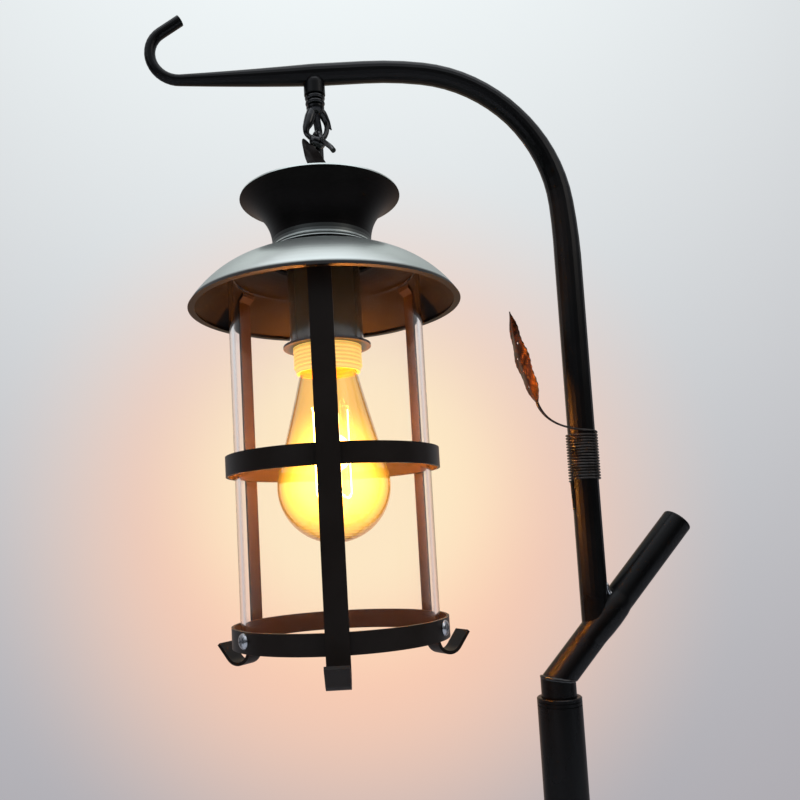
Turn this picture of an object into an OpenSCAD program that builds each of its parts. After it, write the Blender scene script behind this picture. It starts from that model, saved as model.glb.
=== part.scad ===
// Lantern floor lamp: a weighted round base, a pole of three tubes, a branch-shaped side tube,
// a shepherd's crook arm and a hanging lantern with a glass cylinder and a filament bulb.
// Millimetres. The origin is the centre of the base's underside, +Z is up, and the crook
// reaches towards -X.

/* [Base] */
// Diameter of the round base cover
base_d = 280; // [220:1:340]
// Sheet thickness of the base cover
cover_wall = 1.2; // [0.8:0.1:1.6]
// Radius of the rounded edge of the base cover
cover_edge_r = 7; // [4:0.5:10]
// Gap between the rim of the cover and the floor
cover_rim_gap = 1; // [0.5:0.1:2]
// Gap between the rim of the cover and the side of the cast weight
weight_gap = 7.8; // [6:0.1:20]
// Thickness of the cast weight
weight_t = 18; // [16:1:26]
// Thickness of the foam pad that covers the underside
pad_t = 2.5; // [1.5:0.5:4]
// Radius of the hollow threaded stud that holds the pole
stud_r = 6; // [5:0.5:7]
// Wall of the hollow threaded stud
stud_wall = 2.4; // [1.5:0.1:2.6]
// Radius of the washer under the weight
washer_r = 14; // [12:0.5:17]
// Thickness of the washer under the weight
washer_t = 1.6; // [1:0.1:2.5]
// Height of the nut under the weight
stud_nut_h = 5; // [4:0.5:6]
// Bore radius of the cord inlet in the cover's rim
inlet_bore_r = 3.2; // [2.8:0.1:3.6]

/* [Pole] */
// Outer diameter of the pole tubes
pole_d = 25.4; // [23:0.2:30]
// Wall of the pole tubes
pole_wall = 1.2; // [0.8:0.1:1.6]
// Length of each of the three pole tubes
section_l = 371.57; // [250:0.01:450]
// Depth of each plug in a pole tube
plug_l = 22; // [14:1:40]
// Thickness of the ring that shows at each joint of the pole
joint_ring_t = 1.2; // [0.6:0.1:4]
// Diameter of the collar at the foot of the pole
foot_collar_d = 46; // [36:1:70]
// Height of the collar at the foot of the pole
foot_collar_h = 5; // [3:0.5:12]
// Height of the cap ring on top of the pole
cap_h = 4.6; // [4:0.1:12]
// Depth of the recess round the stub in the cap
cap_recess = 1; // [0.5:0.1:2]

/* [Branch] */
// Diameter of the stub that carries the branch
stub_d = 19.9; // [19:0.1:21]
// Height of the stub above the cap, at its axis
stub_h = 10; // [6:0.1:20]
// Slant of the stub's top, down towards the branch
stub_slant = 9.5; // [0:0.5:15]
// Radius of the stub's spigot inside the cap
spigot_r = 8; // [6:0.5:8.5]
// Diameter of the branch tube
branch_d = 17.3; // [16.4:0.1:18]
// Wall of the branch tube
branch_wall = 1.2; // [0.8:0.1:1.6]
// Angle of the branch from upright
branch_tilt = 43; // [36:1:48]
// Length of the branch along its axis
branch_l = 117.5; // [90:0.5:180]
// Side offset of the branch's axis where it stands on the stub
branch_foot_x = 0.9; // [-1:0.1:2]

/* [Arm] */
// Horizontal distance from the pole to the upright of the arm
upright_x = 25.6; // [22:0.1:34]
// Diameter of the arm's upright
arm_d = 16; // [14:0.1:16]
// Diameter of the arm over the lantern
arm_mid_d = 12.3; // [11.5:0.1:13]
// Diameter of the arm at its curled tip
arm_tip_d = 6.3; // [5:0.1:9]
// Wall of the arm tube
arm_wall = 1.3; // [0.8:0.1:1.6]
// Height from the pole's top to the start of the bend
bend_start_h = 259.5; // [200:0.5:340]
// Radius of the slow curve into the bend
ease_in_r = 347; // [200:1:400]
// Turn of the slow curve into the bend
ease_in_a = 5.5; // [3:0.5:7]
// Radius of the main bend
bend_r = 88.7; // [80:0.1:110]
// Turn of the main bend
bend_a = 80.5; // [76:0.5:82]
// Radius of the slow curve out of the bend
ease_out_r = 216; // [150:1:280]
// Turn of the slow curve out of the bend
ease_out_a = 9.35; // [6:0.05:11]
// Straight length of the arm from the lantern's axis back to the bend
run_to_bend_l = 30.4; // [20:0.1:60]
// Straight length of the arm from the lantern's axis to the curl
run_to_curl_l = 77.5; // [60:0.5:110]
// Upward turn of the arm between the lantern's axis and the curl
run_to_curl_a = 1.8; // [0.5:0.1:4]
// Radius of the curl at the tip
curl_r = 15.5; // [12:0.5:20]
// Turn of the curl
curl_a = 147; // [120:1:165]
// Straight end of the curl
curl_end_l = 14; // [6:0.5:20]

/* [Hanger] */
// Radius of the sleeve welded under the arm
sleeve_r = 6.2; // [5.9:0.1:6.4]
// Length of the sleeve, measured from the arm's axis
sleeve_l = 13; // [12:0.1:20]
// Radius of the eye's stem in the sleeve
stem_r = 3.75; // [3.5:0.05:3.9]
// Radial running clearance of the stem
stem_fit = 0.05; // [0.02:0.01:0.1]
// Radius of the beads on the neck of the eye
bead_r = 5.8; // [5.2:0.1:6.4]
// Radius of the ring of the eye, at its wire's centre
eye_r = 8; // [7.8:0.1:9]
// Wire radius of the eye and of the loop on the lantern
bar_r = 1.6; // [1.4:0.1:1.8]
// Drop from the sleeve's mouth to the bar of the eye
eye_drop = 26.2; // [25:0.1:32]
// Turn of the eye about the upright axis, from the arm's plane
eye_turn = 26; // [0:1:60]
// Wire radius of the hook link
link_wire_r = 1.5; // [1.3:0.05:1.6]
// Distance between the two bars that the link joins
link_l = 43.4; // [40:0.1:60]
// Free play between a bar and the bend that goes round it
hinge_play = 0.5; // [0.3:0.05:0.6]
// Reach of the open tail of the link
tail_reach = 17; // [10:0.5:20]
// Drop of the open tail of the link
tail_drop = 14.5; // [10:0.5:20]
// Length of the leaf on the link
hook_leaf_l = 32; // [24:0.5:34]
// Width of the leaf on the link
hook_leaf_w = 10; // [8:0.1:12]
// Thickness of the leaf on the link
hook_leaf_t = 1; // [0.8:0.1:1.4]
// Radius of the supply lead
lead_r = 2.3; // [1.8:0.1:2.3]

/* [Cage] */
// Turn of the lantern about its axis, from the arm's plane
cage_turn = -8.4; // [-30:0.1:30]
// Outer radius of the two rings
ring_r = 60; // [59:0.1:64]
// Thickness of the rings
ring_t = 1.5; // [1:0.1:2]
// Height of the rings
ring_h = 11.2; // [9:0.1:14]
// Height of the middle ring above the bottom ring
ring_gap = 92.8; // [70:0.1:110]
// Width of the straps
strap_w = 12; // [9:0.1:14]
// Thickness of the straps
strap_t = 2; // [1.5:0.1:2.5]
// Radius of the curled feet, at half the strap's thickness
foot_r = 8.5; // [5:0.1:9]
// Turn of the curled feet
foot_a = 140; // [100:1:150]
// Straight end of the curled feet
foot_end_l = 11; // [6:0.5:18]
// Length of the straps below the bottom ring
foot_drop = 5.9; // [4:0.1:14]
// How much higher the front foot was bent than the other two
front_foot_lift = 1.2; // [0:0.1:2]
// Turn of the glass screws from halfway between two straps
screw_phase = 6; // [-12:1:12]
// Height of the glass screws above the middle of the ring
screw_lift = 0.9; // [0:0.1:1.2]
// Shank radius of the glass screws
screw_r = 2.5; // [2:0.1:2.6]
// Head radius of the glass screws
screw_head_r = 4.2; // [3.8:0.1:5]
// Head height of the glass screws
screw_head_h = 2.5; // [2.2:0.1:3.6]

/* [Glass] */
// Outer radius of the glass cylinder
glass_r = 55; // [53:0.1:55.5]
// Wall of the glass cylinder
glass_wall = 2.5; // [1.8:0.1:3]
// Gap between the top of the glass and the dome's sheet
glass_top_gap = 0.5; // [0.3:0.1:4]

/* [Roof] */
// Radius of the dome's rim
dome_r = 77.4; // [74:0.1:84]
// Height of the dome's rim above the foot of the bottom ring
dome_rim_z = 187.9; // [170:0.1:200]
// Rise of the dome from its rim to its crown
dome_rise = 29; // [26:0.1:34]
// Radius of the dome at its crown
crown_r = 32.7; // [31.5:0.1:35]
// Radius of the dome's curved wall
dome_curve_r = 64.5; // [58:0.5:90]
// Sheet thickness of the dome and the chimney
roof_wall = 1; // [0.8:0.1:1.2]
// Width of the flat lip turned in at the dome's rim
lip_w = 3.8; // [2.5:0.1:5]
// Radius of the chimney's neck
neck_r = 28.5; // [27:0.1:29.5]
// Height of the chimney's straight neck above the crown
neck_h = 8.8; // [7:0.1:14]
// Radius of the chimney's flared rim
flare_r = 46.3; // [40:0.1:52]
// Height of the chimney's flare
flare_h = 26.5; // [24.5:0.1:32]

/* [Lampholder] */
// Outer radius of the lampholder's cup
cup_r = 21; // [21:0.1:24]
// Sheet thickness of the cup
cup_wall = 0.8; // [0.6:0.1:0.9]
// Radius of the hollow threaded nipple
nipple_r = 5; // [4.5:0.1:5.5]
// Bore radius of the hollow threaded nipple
nipple_bore_r = 3; // [2.7:0.1:3.3]
// Height of the nuts on the nipple
nipple_nut_h = 4; // [3:0.1:4.5]
// Outer radius of the threaded skirt
skirt_r = 19.5; // [19.4:0.05:19.6]
// Length of the skirt below the cup
skirt_l = 16; // [14:0.1:17]
// Pitch of the ridges on the skirt
ridge_pitch = 2.2; // [1.8:0.1:2.6]
// Radius of the thin ring between the cup and the skirt
shade_ring_r = 25; // [23:0.1:27]
// Thickness of the thin ring
shade_ring_t = 1.3; // [0.8:0.1:1.8]

/* [Bulb] */
// Radius of the bulb's round end
bulb_r = 32; // [28:0.1:34]
// Whole length of the bulb with its cap
bulb_l = 140; // [132:0.5:142]
// Thickness of the bulb's glass
bulb_wall = 0.8; // [0.6:0.1:1]
// Radius over the crests of the screw cap
cap_crest_r = 13.1; // [13:0.05:13.2]
// Play between the screw cap and the threaded shell of the lampholder
cap_play = 0.4; // [0.3:0.05:0.5]
// Number of upright legs of the filament
filament_legs = 8; // [4:2:10]
// Radius of the circle of filament legs
filament_cage_r = 10.5; // [6:0.5:11.5]
// Length of the filament's legs
filament_l = 52; // [36:1:58]
// Radius of the filament strand
filament_r = 0.35; // [0.3:0.05:0.6]

/* [Leaf] */
// Number of turns of the wire round the arm
wrap_turns = 16; // [8:1:18]
// Rise of the wire in one turn
wrap_pitch = 1.7; // [1.7:0.05:2]
// Radius of the wrapped wire
wrap_wire_r = 0.62; // [0.5:0.01:0.62]
// Height of the lowest turn above the pole's top
wrap_start_h = 123; // [110:0.5:150]
// Length of the wire's loose end below the turns
wrap_tail_l = 17; // [8:0.5:24]
// Length of the leaf on the arm
leaf_l = 56.5; // [44:0.5:70]
// Width of the leaf on the arm
leaf_w = 18; // [12:0.5:24]
// Thickness of the leaf on the arm
leaf_t = 0.8; // [0.6:0.1:1.2]
// Turn of the leaf's face about its length, from the arm's plane
leaf_turn = 5; // [-40:1:40]
// Angle between the leaf's two halves and its flat sheet
leaf_fold = 9; // [5:1:35]
// Hollow of the leaf along its length, away from the lantern where negative
leaf_bow = -2.4; // [-4:0.1:4]

/* [Hidden] */
// Places that the joints use
echo(hang_x = hang_x, sleeve_z = sleeve_z, eye_bar_z = eye_bar_z, loop_bar_z = loop_bar_z,
    lantern_z = lantern_z, bulb_top_z = lantern_z + bulb_top_z, arm_hang_z = arm_hang_z);
$fn = 64;

// Small gaps between pieces that are seated on each other
seat = 0.05;
// Clearance between pieces that slide into each other
slip = 0.05;

// ---- Heights of the stand
weight_d = base_d - 2 * cover_wall - 2 * weight_gap;
cover_top_z = pad_t + weight_t + seat + cover_wall;
foot_top_z = cover_top_z + foot_collar_h;
coupler_lower_z = foot_top_z + section_l;
coupler_upper_z = coupler_lower_z + joint_ring_t + section_l;
cap_z = coupler_upper_z + joint_ring_t + section_l;
pole_top_z = cap_z + cap_h;
pole_r = pole_d / 2;
pole_bore_r = pole_r - pole_wall;
plug_r = pole_bore_r - slip;
stub_top_z = pole_top_z + stub_h;
recess_roof_z = pad_t + weight_t - 3.4;
lead_groove_z = pad_t + lead_r + 1.8;

// ---- The branch's axis and where the upright stands on it
branch_r = branch_d / 2;
branch_dir = [sin(branch_tilt), 0, cos(branch_tilt)];
upright_foot_z = stub_top_z + (upright_x - branch_foot_x) / tan(branch_tilt);

// ---- The arm's centre line: runs of [length, turn], from the upright to the curled tip.
// The heading is 0 upwards and 90 towards -X.
function arc_l(r, a) = r * a * PI / 180;
upright_l = pole_top_z + bend_start_h - upright_foot_z;
arm_slope_a = ease_in_a + bend_a + ease_out_a;
bend_runs = [[upright_l, 0], [arc_l(ease_in_r, ease_in_a), ease_in_a],
    [arc_l(bend_r, bend_a), bend_a], [arc_l(ease_out_r, ease_out_a), ease_out_a]];
arm_runs = concat(bend_runs, [[run_to_bend_l, 0], [run_to_curl_l, -run_to_curl_a],
    [arc_l(curl_r, curl_a), -curl_a], [curl_end_l, 0]]);
arm_steps = [1, 3, 16, 3, 1, 5, 16, 1];

function turned(h, a) = [-sin(h + a), cos(h + a)];
// Point and heading [x, z, heading] at share t of one run
function along(p, run, t) =
    run[1] == 0
    ? [p[0] - run[0] * t * sin(p[2]), p[1] + run[0] * t * cos(p[2]), p[2]]
    : let (r = run[0] * 180 / PI / run[1], h = p[2] + run[1] * t)
        [p[0] + r * (cos(h) - cos(p[2])), p[1] + r * (sin(h) - sin(p[2])), h];
// Start of each run, with the end of the last one
function run_starts(p0, runs) =
    [for (i = 0, p = p0; i <= len(runs); p = i < len(runs) ? along(p, runs[i], 1) : p, i = i + 1) p];
// Stations [x, z, heading] along all runs, with steps[i] steps in run i
function stations(p0, runs, steps) =
    let (s = run_starts(p0, runs))
    concat([for (i = [0:len(runs) - 1]) for (j = [0:steps[i] - 1]) along(s[i], runs[i], j / steps[i])],
        [s[len(runs)]]);
// Length along the runs at each station
function run_lengths(runs, steps) =
    let (sum = [for (i = 0, d = 0; i <= len(runs); d = i < len(runs) ? d + runs[i][0] : d, i = i + 1) d])
    concat([for (i = [0:len(runs) - 1]) for (j = [0:steps[i] - 1]) sum[i] + runs[i][0] * j / steps[i]],
        [sum[len(runs)]]);

arm_start = [upright_x, upright_foot_z, 0];
arm_stations = stations(arm_start, arm_runs, arm_steps);
arm_lengths = run_lengths(arm_runs, arm_steps);
arm_starts = run_starts(arm_start, arm_runs);
// The lantern hangs where the fifth run ends
hang_x = arm_starts[5][0];
arm_reach = -hang_x;
arm_hang_z = arm_starts[5][1];
hang_l = upright_l + arc_l(ease_in_r, ease_in_a) + arc_l(bend_r, bend_a)
    + arc_l(ease_out_r, ease_out_a) + run_to_bend_l;
curl_start_l = hang_l + run_to_curl_l;
narrow_from_l = upright_l;
narrow_to_l = upright_l + arc_l(ease_in_r, ease_in_a) + arc_l(bend_r, bend_a) * 0.5;
function arm_r_at(d) = lookup(d, [[0, arm_d / 2], [narrow_from_l, arm_d / 2],
    [narrow_to_l, arm_mid_d / 2], [hang_l, arm_mid_d / 2], [curl_start_l, arm_tip_d / 2]]);

// ---- Heights of the hanging gear, all on the lantern's axis
sleeve_z = arm_hang_z - sleeve_l;
eye_bar_z = sleeve_z - eye_drop;
loop_bar_z = eye_bar_z - link_l;

// ---- The lantern's own heights, from the foot of the bottom ring
cage_seat_r = ring_r + seat;
screw_z = ring_h / 2 + screw_lift;
glass_z = screw_z + screw_r + seat;
middle_ring_z = ring_gap;
crown_z = dome_rim_z + dome_rise;
crown_top_z = crown_z + 2.2;
chimney_base_z = crown_top_z + seat;
neck_z = crown_z + neck_h;
flare_z = neck_z + flare_h;
washer_z = chimney_base_z + roof_wall + seat;
upper_nut_z = washer_z + 1.2 + seat;
boss_z = upper_nut_z + nipple_nut_h + seat;
boss_h = 5.2;
loop_r = 10;
loop_centre_z = boss_z + boss_h - 2.9 + loop_r - bar_r;
loop_z = loop_centre_z + loop_r;
lower_nut_z = crown_top_z - roof_wall - seat - nipple_nut_h;
cup_top_z = lower_nut_z - seat;
inner_nut_z = cup_top_z - cup_wall - seat - nipple_nut_h;
body_neck_top_z = inner_nut_z - seat;
nipple_top_z = boss_z + 2.7;
lantern_z = loop_bar_z - loop_z;

// ---- The dome's curved wall, a circle through crown and rim
dome_chord = [dome_r - crown_r, -dome_rise];
dome_half = norm(dome_chord) / 2;
dome_out = [dome_rise, dome_r - crown_r] / norm(dome_chord);
dome_mid = [(crown_r + dome_r) / 2, (crown_z + dome_rim_z) / 2];
dome_c = dome_mid - dome_out * sqrt(dome_curve_r * dome_curve_r - dome_half * dome_half);
function dome_z(r, inset) = dome_c[1] + sqrt(pow(dome_curve_r - inset, 2) - pow(r - dome_c[0], 2));
dome_a0 = atan2(crown_z - dome_c[1], crown_r - dome_c[0]);
dome_a1 = atan2(dome_rim_z - dome_c[1], dome_r - dome_c[0]);
glass_top_z = dome_z(glass_r, roof_wall) - glass_top_gap;

// ---- The chimney's flare, a circle that leaves the neck upright
flare_curve_r = (pow(flare_r - neck_r, 2) + pow(flare_h, 2)) / (2 * (flare_r - neck_r));
flare_a = asin(flare_h / flare_curve_r);

// ---- The lampholder and bulb
shell_r = cap_crest_r + cap_play;
shell_t = 0.5;
body_bore_r = shell_r + shell_t + slip;
body_r = skirt_r - 1;
cup_mouth_z = cup_top_z - 48;
shade_ring_z = cup_mouth_z - seat - shade_ring_t;
skirt_z = cup_mouth_z - skirt_l;
body_z = cup_mouth_z - 1;
bulb_top_z = cup_mouth_z + 27.6;
bulb_tip_z = bulb_top_z - bulb_l;
bulb_centre_z = bulb_tip_z + bulb_r;
bulb_cap_z = bulb_top_z - 26;
contact_z = bulb_top_z + 0.3;
body_top_z = contact_z + 8;

function arc_points(c, r, a0, a1, n) =
    [for (i = [0:n]) [c[0] + r * cos(a0 + (a1 - a0) * i / n), c[1] + r * sin(a0 + (a1 - a0) * i / n)]];
function unit(v) = v / norm(v);
function smooth(t) = let (u = max(0, min(1, t))) u * u * (3 - 2 * u);
function flip(list) = [for (i = [len(list) - 1:-1:0]) list[i]];
function cubic(a, b, c, d, t) =
    pow(1 - t, 3) * a + 3 * t * pow(1 - t, 2) * b + 3 * t * t * (1 - t) * c + t * t * t * d;

// ---- Tubes swept along points. Each station's ring lies square to the path, and its
// normal is carried from the last one, so the tube never twists.
function tangents(p) = [for (i = [0:len(p) - 1]) unit(p[min(i + 1, len(p) - 1)] - p[max(i - 1, 0)])];
function square_to(v, t) = unit(v - (v * t) * t);
function carried(t, v) =
    [for (i = 0, n = square_to(v, t[0]); i < len(t);
        i = i + 1, n = i < len(t) ? square_to(n, t[i]) : n) n];
function ring_points(p, r, sides, v) =
    let (t = tangents(p), n = carried(t, v))
    [for (i = [0:len(p) - 1]) let (b = cross(t[i], n[i]), q = is_list(r) ? r[i] : r)
        for (k = [0:sides - 1]) p[i] + q * (cos(360 * k / sides) * n[i] + sin(360 * k / sides) * b)];
function wall_faces(first, rings, sides, bore) =
    [for (i = [0:rings - 2]) for (k = [0:sides - 1])
        let (a = first + i * sides + k, b = first + i * sides + (k + 1) % sides, c = a + sides, d = b + sides)
        for (f = bore ? [[a, b, d], [a, d, c]] : [[b, a, d], [d, a, c]]) f];
function cap_faces(first, sides, facing_back) =
    [for (k = [1:sides - 2]) facing_back ? [first, first + k, first + k + 1] : [first, first + k + 1, first + k]];

// A solid tube with closed ends, all its faces triangles
module swept(p, r, sides, v = [0, 1, 0]) {
    last = (len(p) - 1) * sides;
    polyhedron(points = ring_points(p, r, sides, v), convexity = 6,
        faces = concat(wall_faces(0, len(p), sides, false), cap_faces(0, sides, true),
            cap_faces(last, sides, false)));
}

// A tube with a bore that ends inside it, open at its first station
module bored(p, r_out, r_in, bore_rings, sides, v = [0, 1, 0]) {
    q = [for (i = [0:bore_rings - 1]) p[i]];
    inner = len(p) * sides;
    polyhedron(convexity = 8,
        points = concat(ring_points(p, r_out, sides, v), ring_points(q, r_in, sides, v)),
        faces = concat(
            wall_faces(0, len(p), sides, false),
            cap_faces((len(p) - 1) * sides, sides, false),
            wall_faces(inner, bore_rings, sides, true),
            cap_faces(inner + (bore_rings - 1) * sides, sides, true),
            [for (k = [0:sides - 1]) let (n = (k + 1) % sides)
                for (f = [[k, n, inner + n], [k, inner + n, inner + k]]) f]));
}

// A hexagon nut with a round hole
module hex_nut(flats, h, hole_r) {
    difference() {
        cylinder(r = flats / 2 / cos(30), h = h, $fn = 6);
        translate([0, 0, -1]) cylinder(r = hole_r, h = h + 2);
    }
}

module tube(r_out, r_in, h) {
    difference() {
        cylinder(r = r_out, h = h);
        translate([0, 0, -1]) cylinder(r = r_in, h = h + 2);
    }
}

// ---- Stand: base

module base_pad() {
    color("dimgray") cylinder(r = weight_d / 2 - 4, h = pad_t, $fn = 96);
}

module base_weight() {
    groove = lead_r * 2 + 1;
    color("#3a3a3c") difference() {
        translate([0, 0, pad_t]) cylinder(r = weight_d / 2, h = weight_t, $fn = 96);
        translate([0, 0, pad_t - 1]) cylinder(r = washer_r + 4, h = recess_roof_z - pad_t + 1);
        translate([0, 0, pad_t + 1]) cylinder(r = stud_r + 0.4, h = weight_t);
        translate([-groove / 2, 0, pad_t - 1]) cube([groove, weight_d, lead_groove_z + lead_r + 1.5 - pad_t]);
    }
}

module base_cover() {
    r = base_d / 2;
    top = cover_top_z;
    w = cover_wall;
    e = cover_edge_r;
    color("#232428") difference() {
        rotate_extrude($fn = 128) polygon(concat(
            [[stud_r + 0.4, top], [stud_r + 0.4, top - w], [r - e, top - w]],
            flip(arc_points([r - e, top - e], e - w, 0, 90, 8)),
            [[r - w, cover_rim_gap], [r, cover_rim_gap]],
            arc_points([r - e, top - e], e, 0, 90, 8)));
        translate([0, r - 10, lead_groove_z]) rotate([-90, 0, 0]) cylinder(r = inlet_r + slip, h = 20);
    }
}

inlet_r = inlet_bore_r + 1.1;

module cord_inlet() {
    color("#1b1b1d") translate([0, base_d / 2, lead_groove_z]) rotate([-90, 0, 0])
        rotate_extrude() polygon([[inlet_bore_r, -5], [inlet_r, -5], [inlet_r, 0.3],
            [inlet_r + 0.5, 0.3], [inlet_r + 0.5, 1.4], [inlet_r, 2], [inlet_bore_r, 2]]);
}

module base_washer() {
    color("silver") translate([0, 0, recess_roof_z - seat - washer_t])
        tube(washer_r, stud_r + 0.3, washer_t);
}

base_nut_z = recess_roof_z - 2 * seat - washer_t - stud_nut_h;

module base_nut() {
    color("silver") translate([0, 0, base_nut_z]) hex_nut(19, stud_nut_h, stud_r + slip);
}

module base_stud() {
    color("silver") translate([0, 0, base_nut_z + 0.4])
        tube(stud_r, stud_r - stud_wall, foot_top_z + plug_l - 5 - base_nut_z);
}

// ---- Stand: pole

module pole_foot() {
    r = foot_collar_d / 2;
    color("#232428") translate([0, 0, cover_top_z + seat]) rotate_extrude() polygon([
        [stud_r + slip, 0], [r, 0], [r, foot_collar_h - 2 - seat], [r - 2, foot_collar_h - seat],
        [plug_r, foot_collar_h - seat], [plug_r, foot_collar_h + plug_l - 1],
        [plug_r - 1, foot_collar_h + plug_l], [stud_r + slip, foot_collar_h + plug_l]]);
}

module pole_tube(z) {
    color("#26272b") translate([0, 0, z + seat]) tube(pole_r, pole_bore_r, section_l - 2 * seat);
}

module pole_coupler(z) {
    color("#202124") translate([0, 0, z]) rotate_extrude() polygon([
        [spigot_r - 2, -plug_l], [plug_r - 1, -plug_l], [plug_r, 1 - plug_l], [plug_r, 0],
        [pole_r, 0], [pole_r, joint_ring_t], [plug_r, joint_ring_t],
        [plug_r, joint_ring_t + plug_l - 1], [plug_r - 1, joint_ring_t + plug_l],
        [spigot_r - 2, joint_ring_t + plug_l]]);
}

module pole_lower() { pole_tube(foot_top_z); }
module coupler_lower() { pole_coupler(coupler_lower_z); }
module pole_middle() { pole_tube(coupler_lower_z + joint_ring_t); }
module coupler_upper() { pole_coupler(coupler_upper_z); }
module pole_upper() { pole_tube(coupler_upper_z + joint_ring_t); }

module pole_cap() {
    groove = 0.5;
    color("#26272b") translate([0, 0, cap_z]) rotate_extrude() polygon([
        [spigot_r + slip, -plug_l], [plug_r - 1, -plug_l], [plug_r, 1 - plug_l], [plug_r, 0],
        [pole_r - groove, 0], [pole_r - groove, groove], [pole_r, groove],
        [pole_r, cap_h / 2 - 0.2], [pole_r - 0.3, cap_h / 2], [pole_r, cap_h / 2 + 0.2],
        [pole_r, cap_h - 0.5], [pole_r - 0.5, cap_h], [stub_d / 2 + 0.3, cap_h],
        [stub_d / 2 + 0.3, cap_h - cap_recess], [spigot_r + slip, cap_h - cap_recess]]);
}

module neck_stub() {
    foot = pole_top_z - cap_recess + seat;
    color("#26272b") difference() {
        rotate_extrude() polygon([
            [spigot_r - 3, foot - plug_l + 4], [spigot_r, foot - plug_l + 4], [spigot_r, foot],
            [stub_d / 2, foot], [stub_d / 2, stub_top_z + 6], [spigot_r - 3, stub_top_z + 6]]);
        on_slant(0) translate([-60, -60, 0]) cube([120, 120, 60]);
    }
}

// The slanted plane on which stub and branch meet
module on_slant(lift) {
    translate([0, 0, stub_top_z + lift]) rotate([0, stub_slant, 0]) children();
}

// ---- Stand: branch and arm

module on_branch() {
    translate([branch_foot_x, 0, stub_top_z]) rotate([0, branch_tilt, 0]) children();
}

module branch_tube() {
    below = branch_r * tan(branch_tilt) + 6;
    color("#26272b") difference() {
        on_branch() translate([0, 0, -below]) cylinder(r = branch_r, h = branch_l + below);
        on_branch() translate([0, 0, -below - 1])
            cylinder(r = branch_r - branch_wall, h = branch_l + below + 2);
        on_slant(seat) translate([-60, -60, -60]) cube([120, 120, 60]);
        translate([upright_x, 0, upright_foot_z]) cylinder(r = lead_r + 2.5, h = 40);
    }
}

module branch_plug() {
    color("#26272b") on_branch() translate([0, 0, branch_l + seat]) rotate_extrude() polygon(concat(
        [[0, -7], [branch_r - branch_wall - slip, -7], [branch_r - branch_wall - slip, 0], [branch_r, 0]],
        arc_points([branch_r - 1.2, 0.6], 1.2, 0, 90, 5), [[0, 1.8]]));
}

arm_points = [for (s = arm_stations) [s[0], 0, s[1]]];
arm_radii = [for (d = arm_lengths) arm_r_at(d)];
bore_stations = len([for (d = arm_lengths) if (d <= hang_l + 18) 1]);

module arm_tube() {
    color("#26272b") difference() {
        bored(arm_points, arm_radii, [for (r = arm_radii) r - arm_wall], bore_stations, 20);
        on_branch() translate([0, 0, -1]) cylinder(r = branch_r + 0.02, h = branch_l);
        translate([hang_x, 0, arm_hang_z - 12]) cylinder(r = lead_r + 0.6, h = 12);
    }
}

// ---- Hanger

module at_hang(z) { translate([hang_x, 0, z]) children(); }

module hanger_sleeve() {
    lip_h = 2;
    head_bore_r = stem_r + 1.15;
    l = sleeve_l;
    color("#26272b") difference() {
        at_hang(sleeve_z) rotate_extrude() polygon([
            [stem_r + stem_fit, 0], [sleeve_r - 0.3, 0], [sleeve_r, 0.3], [sleeve_r, l - 6.4],
            [sleeve_r - 0.15, l - 5.2], [sleeve_r - 0.6, l - 4.1], [head_bore_r + 0.1, l - 3.3],
            [head_bore_r, l - 3.3], [head_bore_r, lip_h], [stem_r + stem_fit, lip_h]]);
        at_hang(arm_hang_z) rotate([0, -arm_slope_a, 0]) translate([0, 0, -20])
            cylinder(r = arm_mid_d / 2 + seat, h = 40);
    }
}

// Points given in the eye's own plane: e along the eye, f square to it, z up from its bar
function eye_point(e, f, z) = [hang_x + e * cos(eye_turn) + f * sin(eye_turn),
    e * sin(eye_turn) - f * cos(eye_turn), z];

module eye_leg(side) {
    hull() {
        translate([side * 3.1, 0, eye_drop - 8.4]) sphere(r = 2.3, $fn = 20);
        translate([side * (eye_r - 1.2), 0, eye_r + 3]) sphere(r = bar_r + 0.2, $fn = 20);
    }
}

module hanger_eye() {
    neck_bottom = -9.4;
    color("#1f2023") at_hang(sleeve_z) difference() {
        union() {
            rotate_extrude() union() {
                polygon([[0, neck_bottom], [4.4, neck_bottom], [4.9, -7], [4.3, -7], [4.3, -0.3],
                    [stem_r, -0.3], [stem_r, 2.15], [stem_r + 0.95, 2.15], [stem_r + 0.95, 3.4], [0, 3.4]]);
                translate([bead_r - 1.6, -2]) circle(r = 1.6, $fn = 32);
                translate([bead_r - 1.8, -5.4]) circle(r = 1.5, $fn = 32);
            }
            translate([0, 0, -eye_drop]) rotate([0, 0, eye_turn]) {
                translate([0, 0, eye_r]) rotate([90, 0, 0])
                    rotate_extrude($fn = 48) translate([eye_r, 0]) circle(r = bar_r, $fn = 24);
                eye_leg(1);
                eye_leg(-1);
            }
        }
        translate([0, 0, -13]) cylinder(r = lead_r + 0.3, h = 20);
        translate([0, 0, -13.2]) cylinder(r1 = lead_r + 2, r2 = lead_r + 0.3, h = 3.8);
    }
}

link_bend_r = bar_r + hinge_play + link_wire_r;
jog_l = 10;

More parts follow.
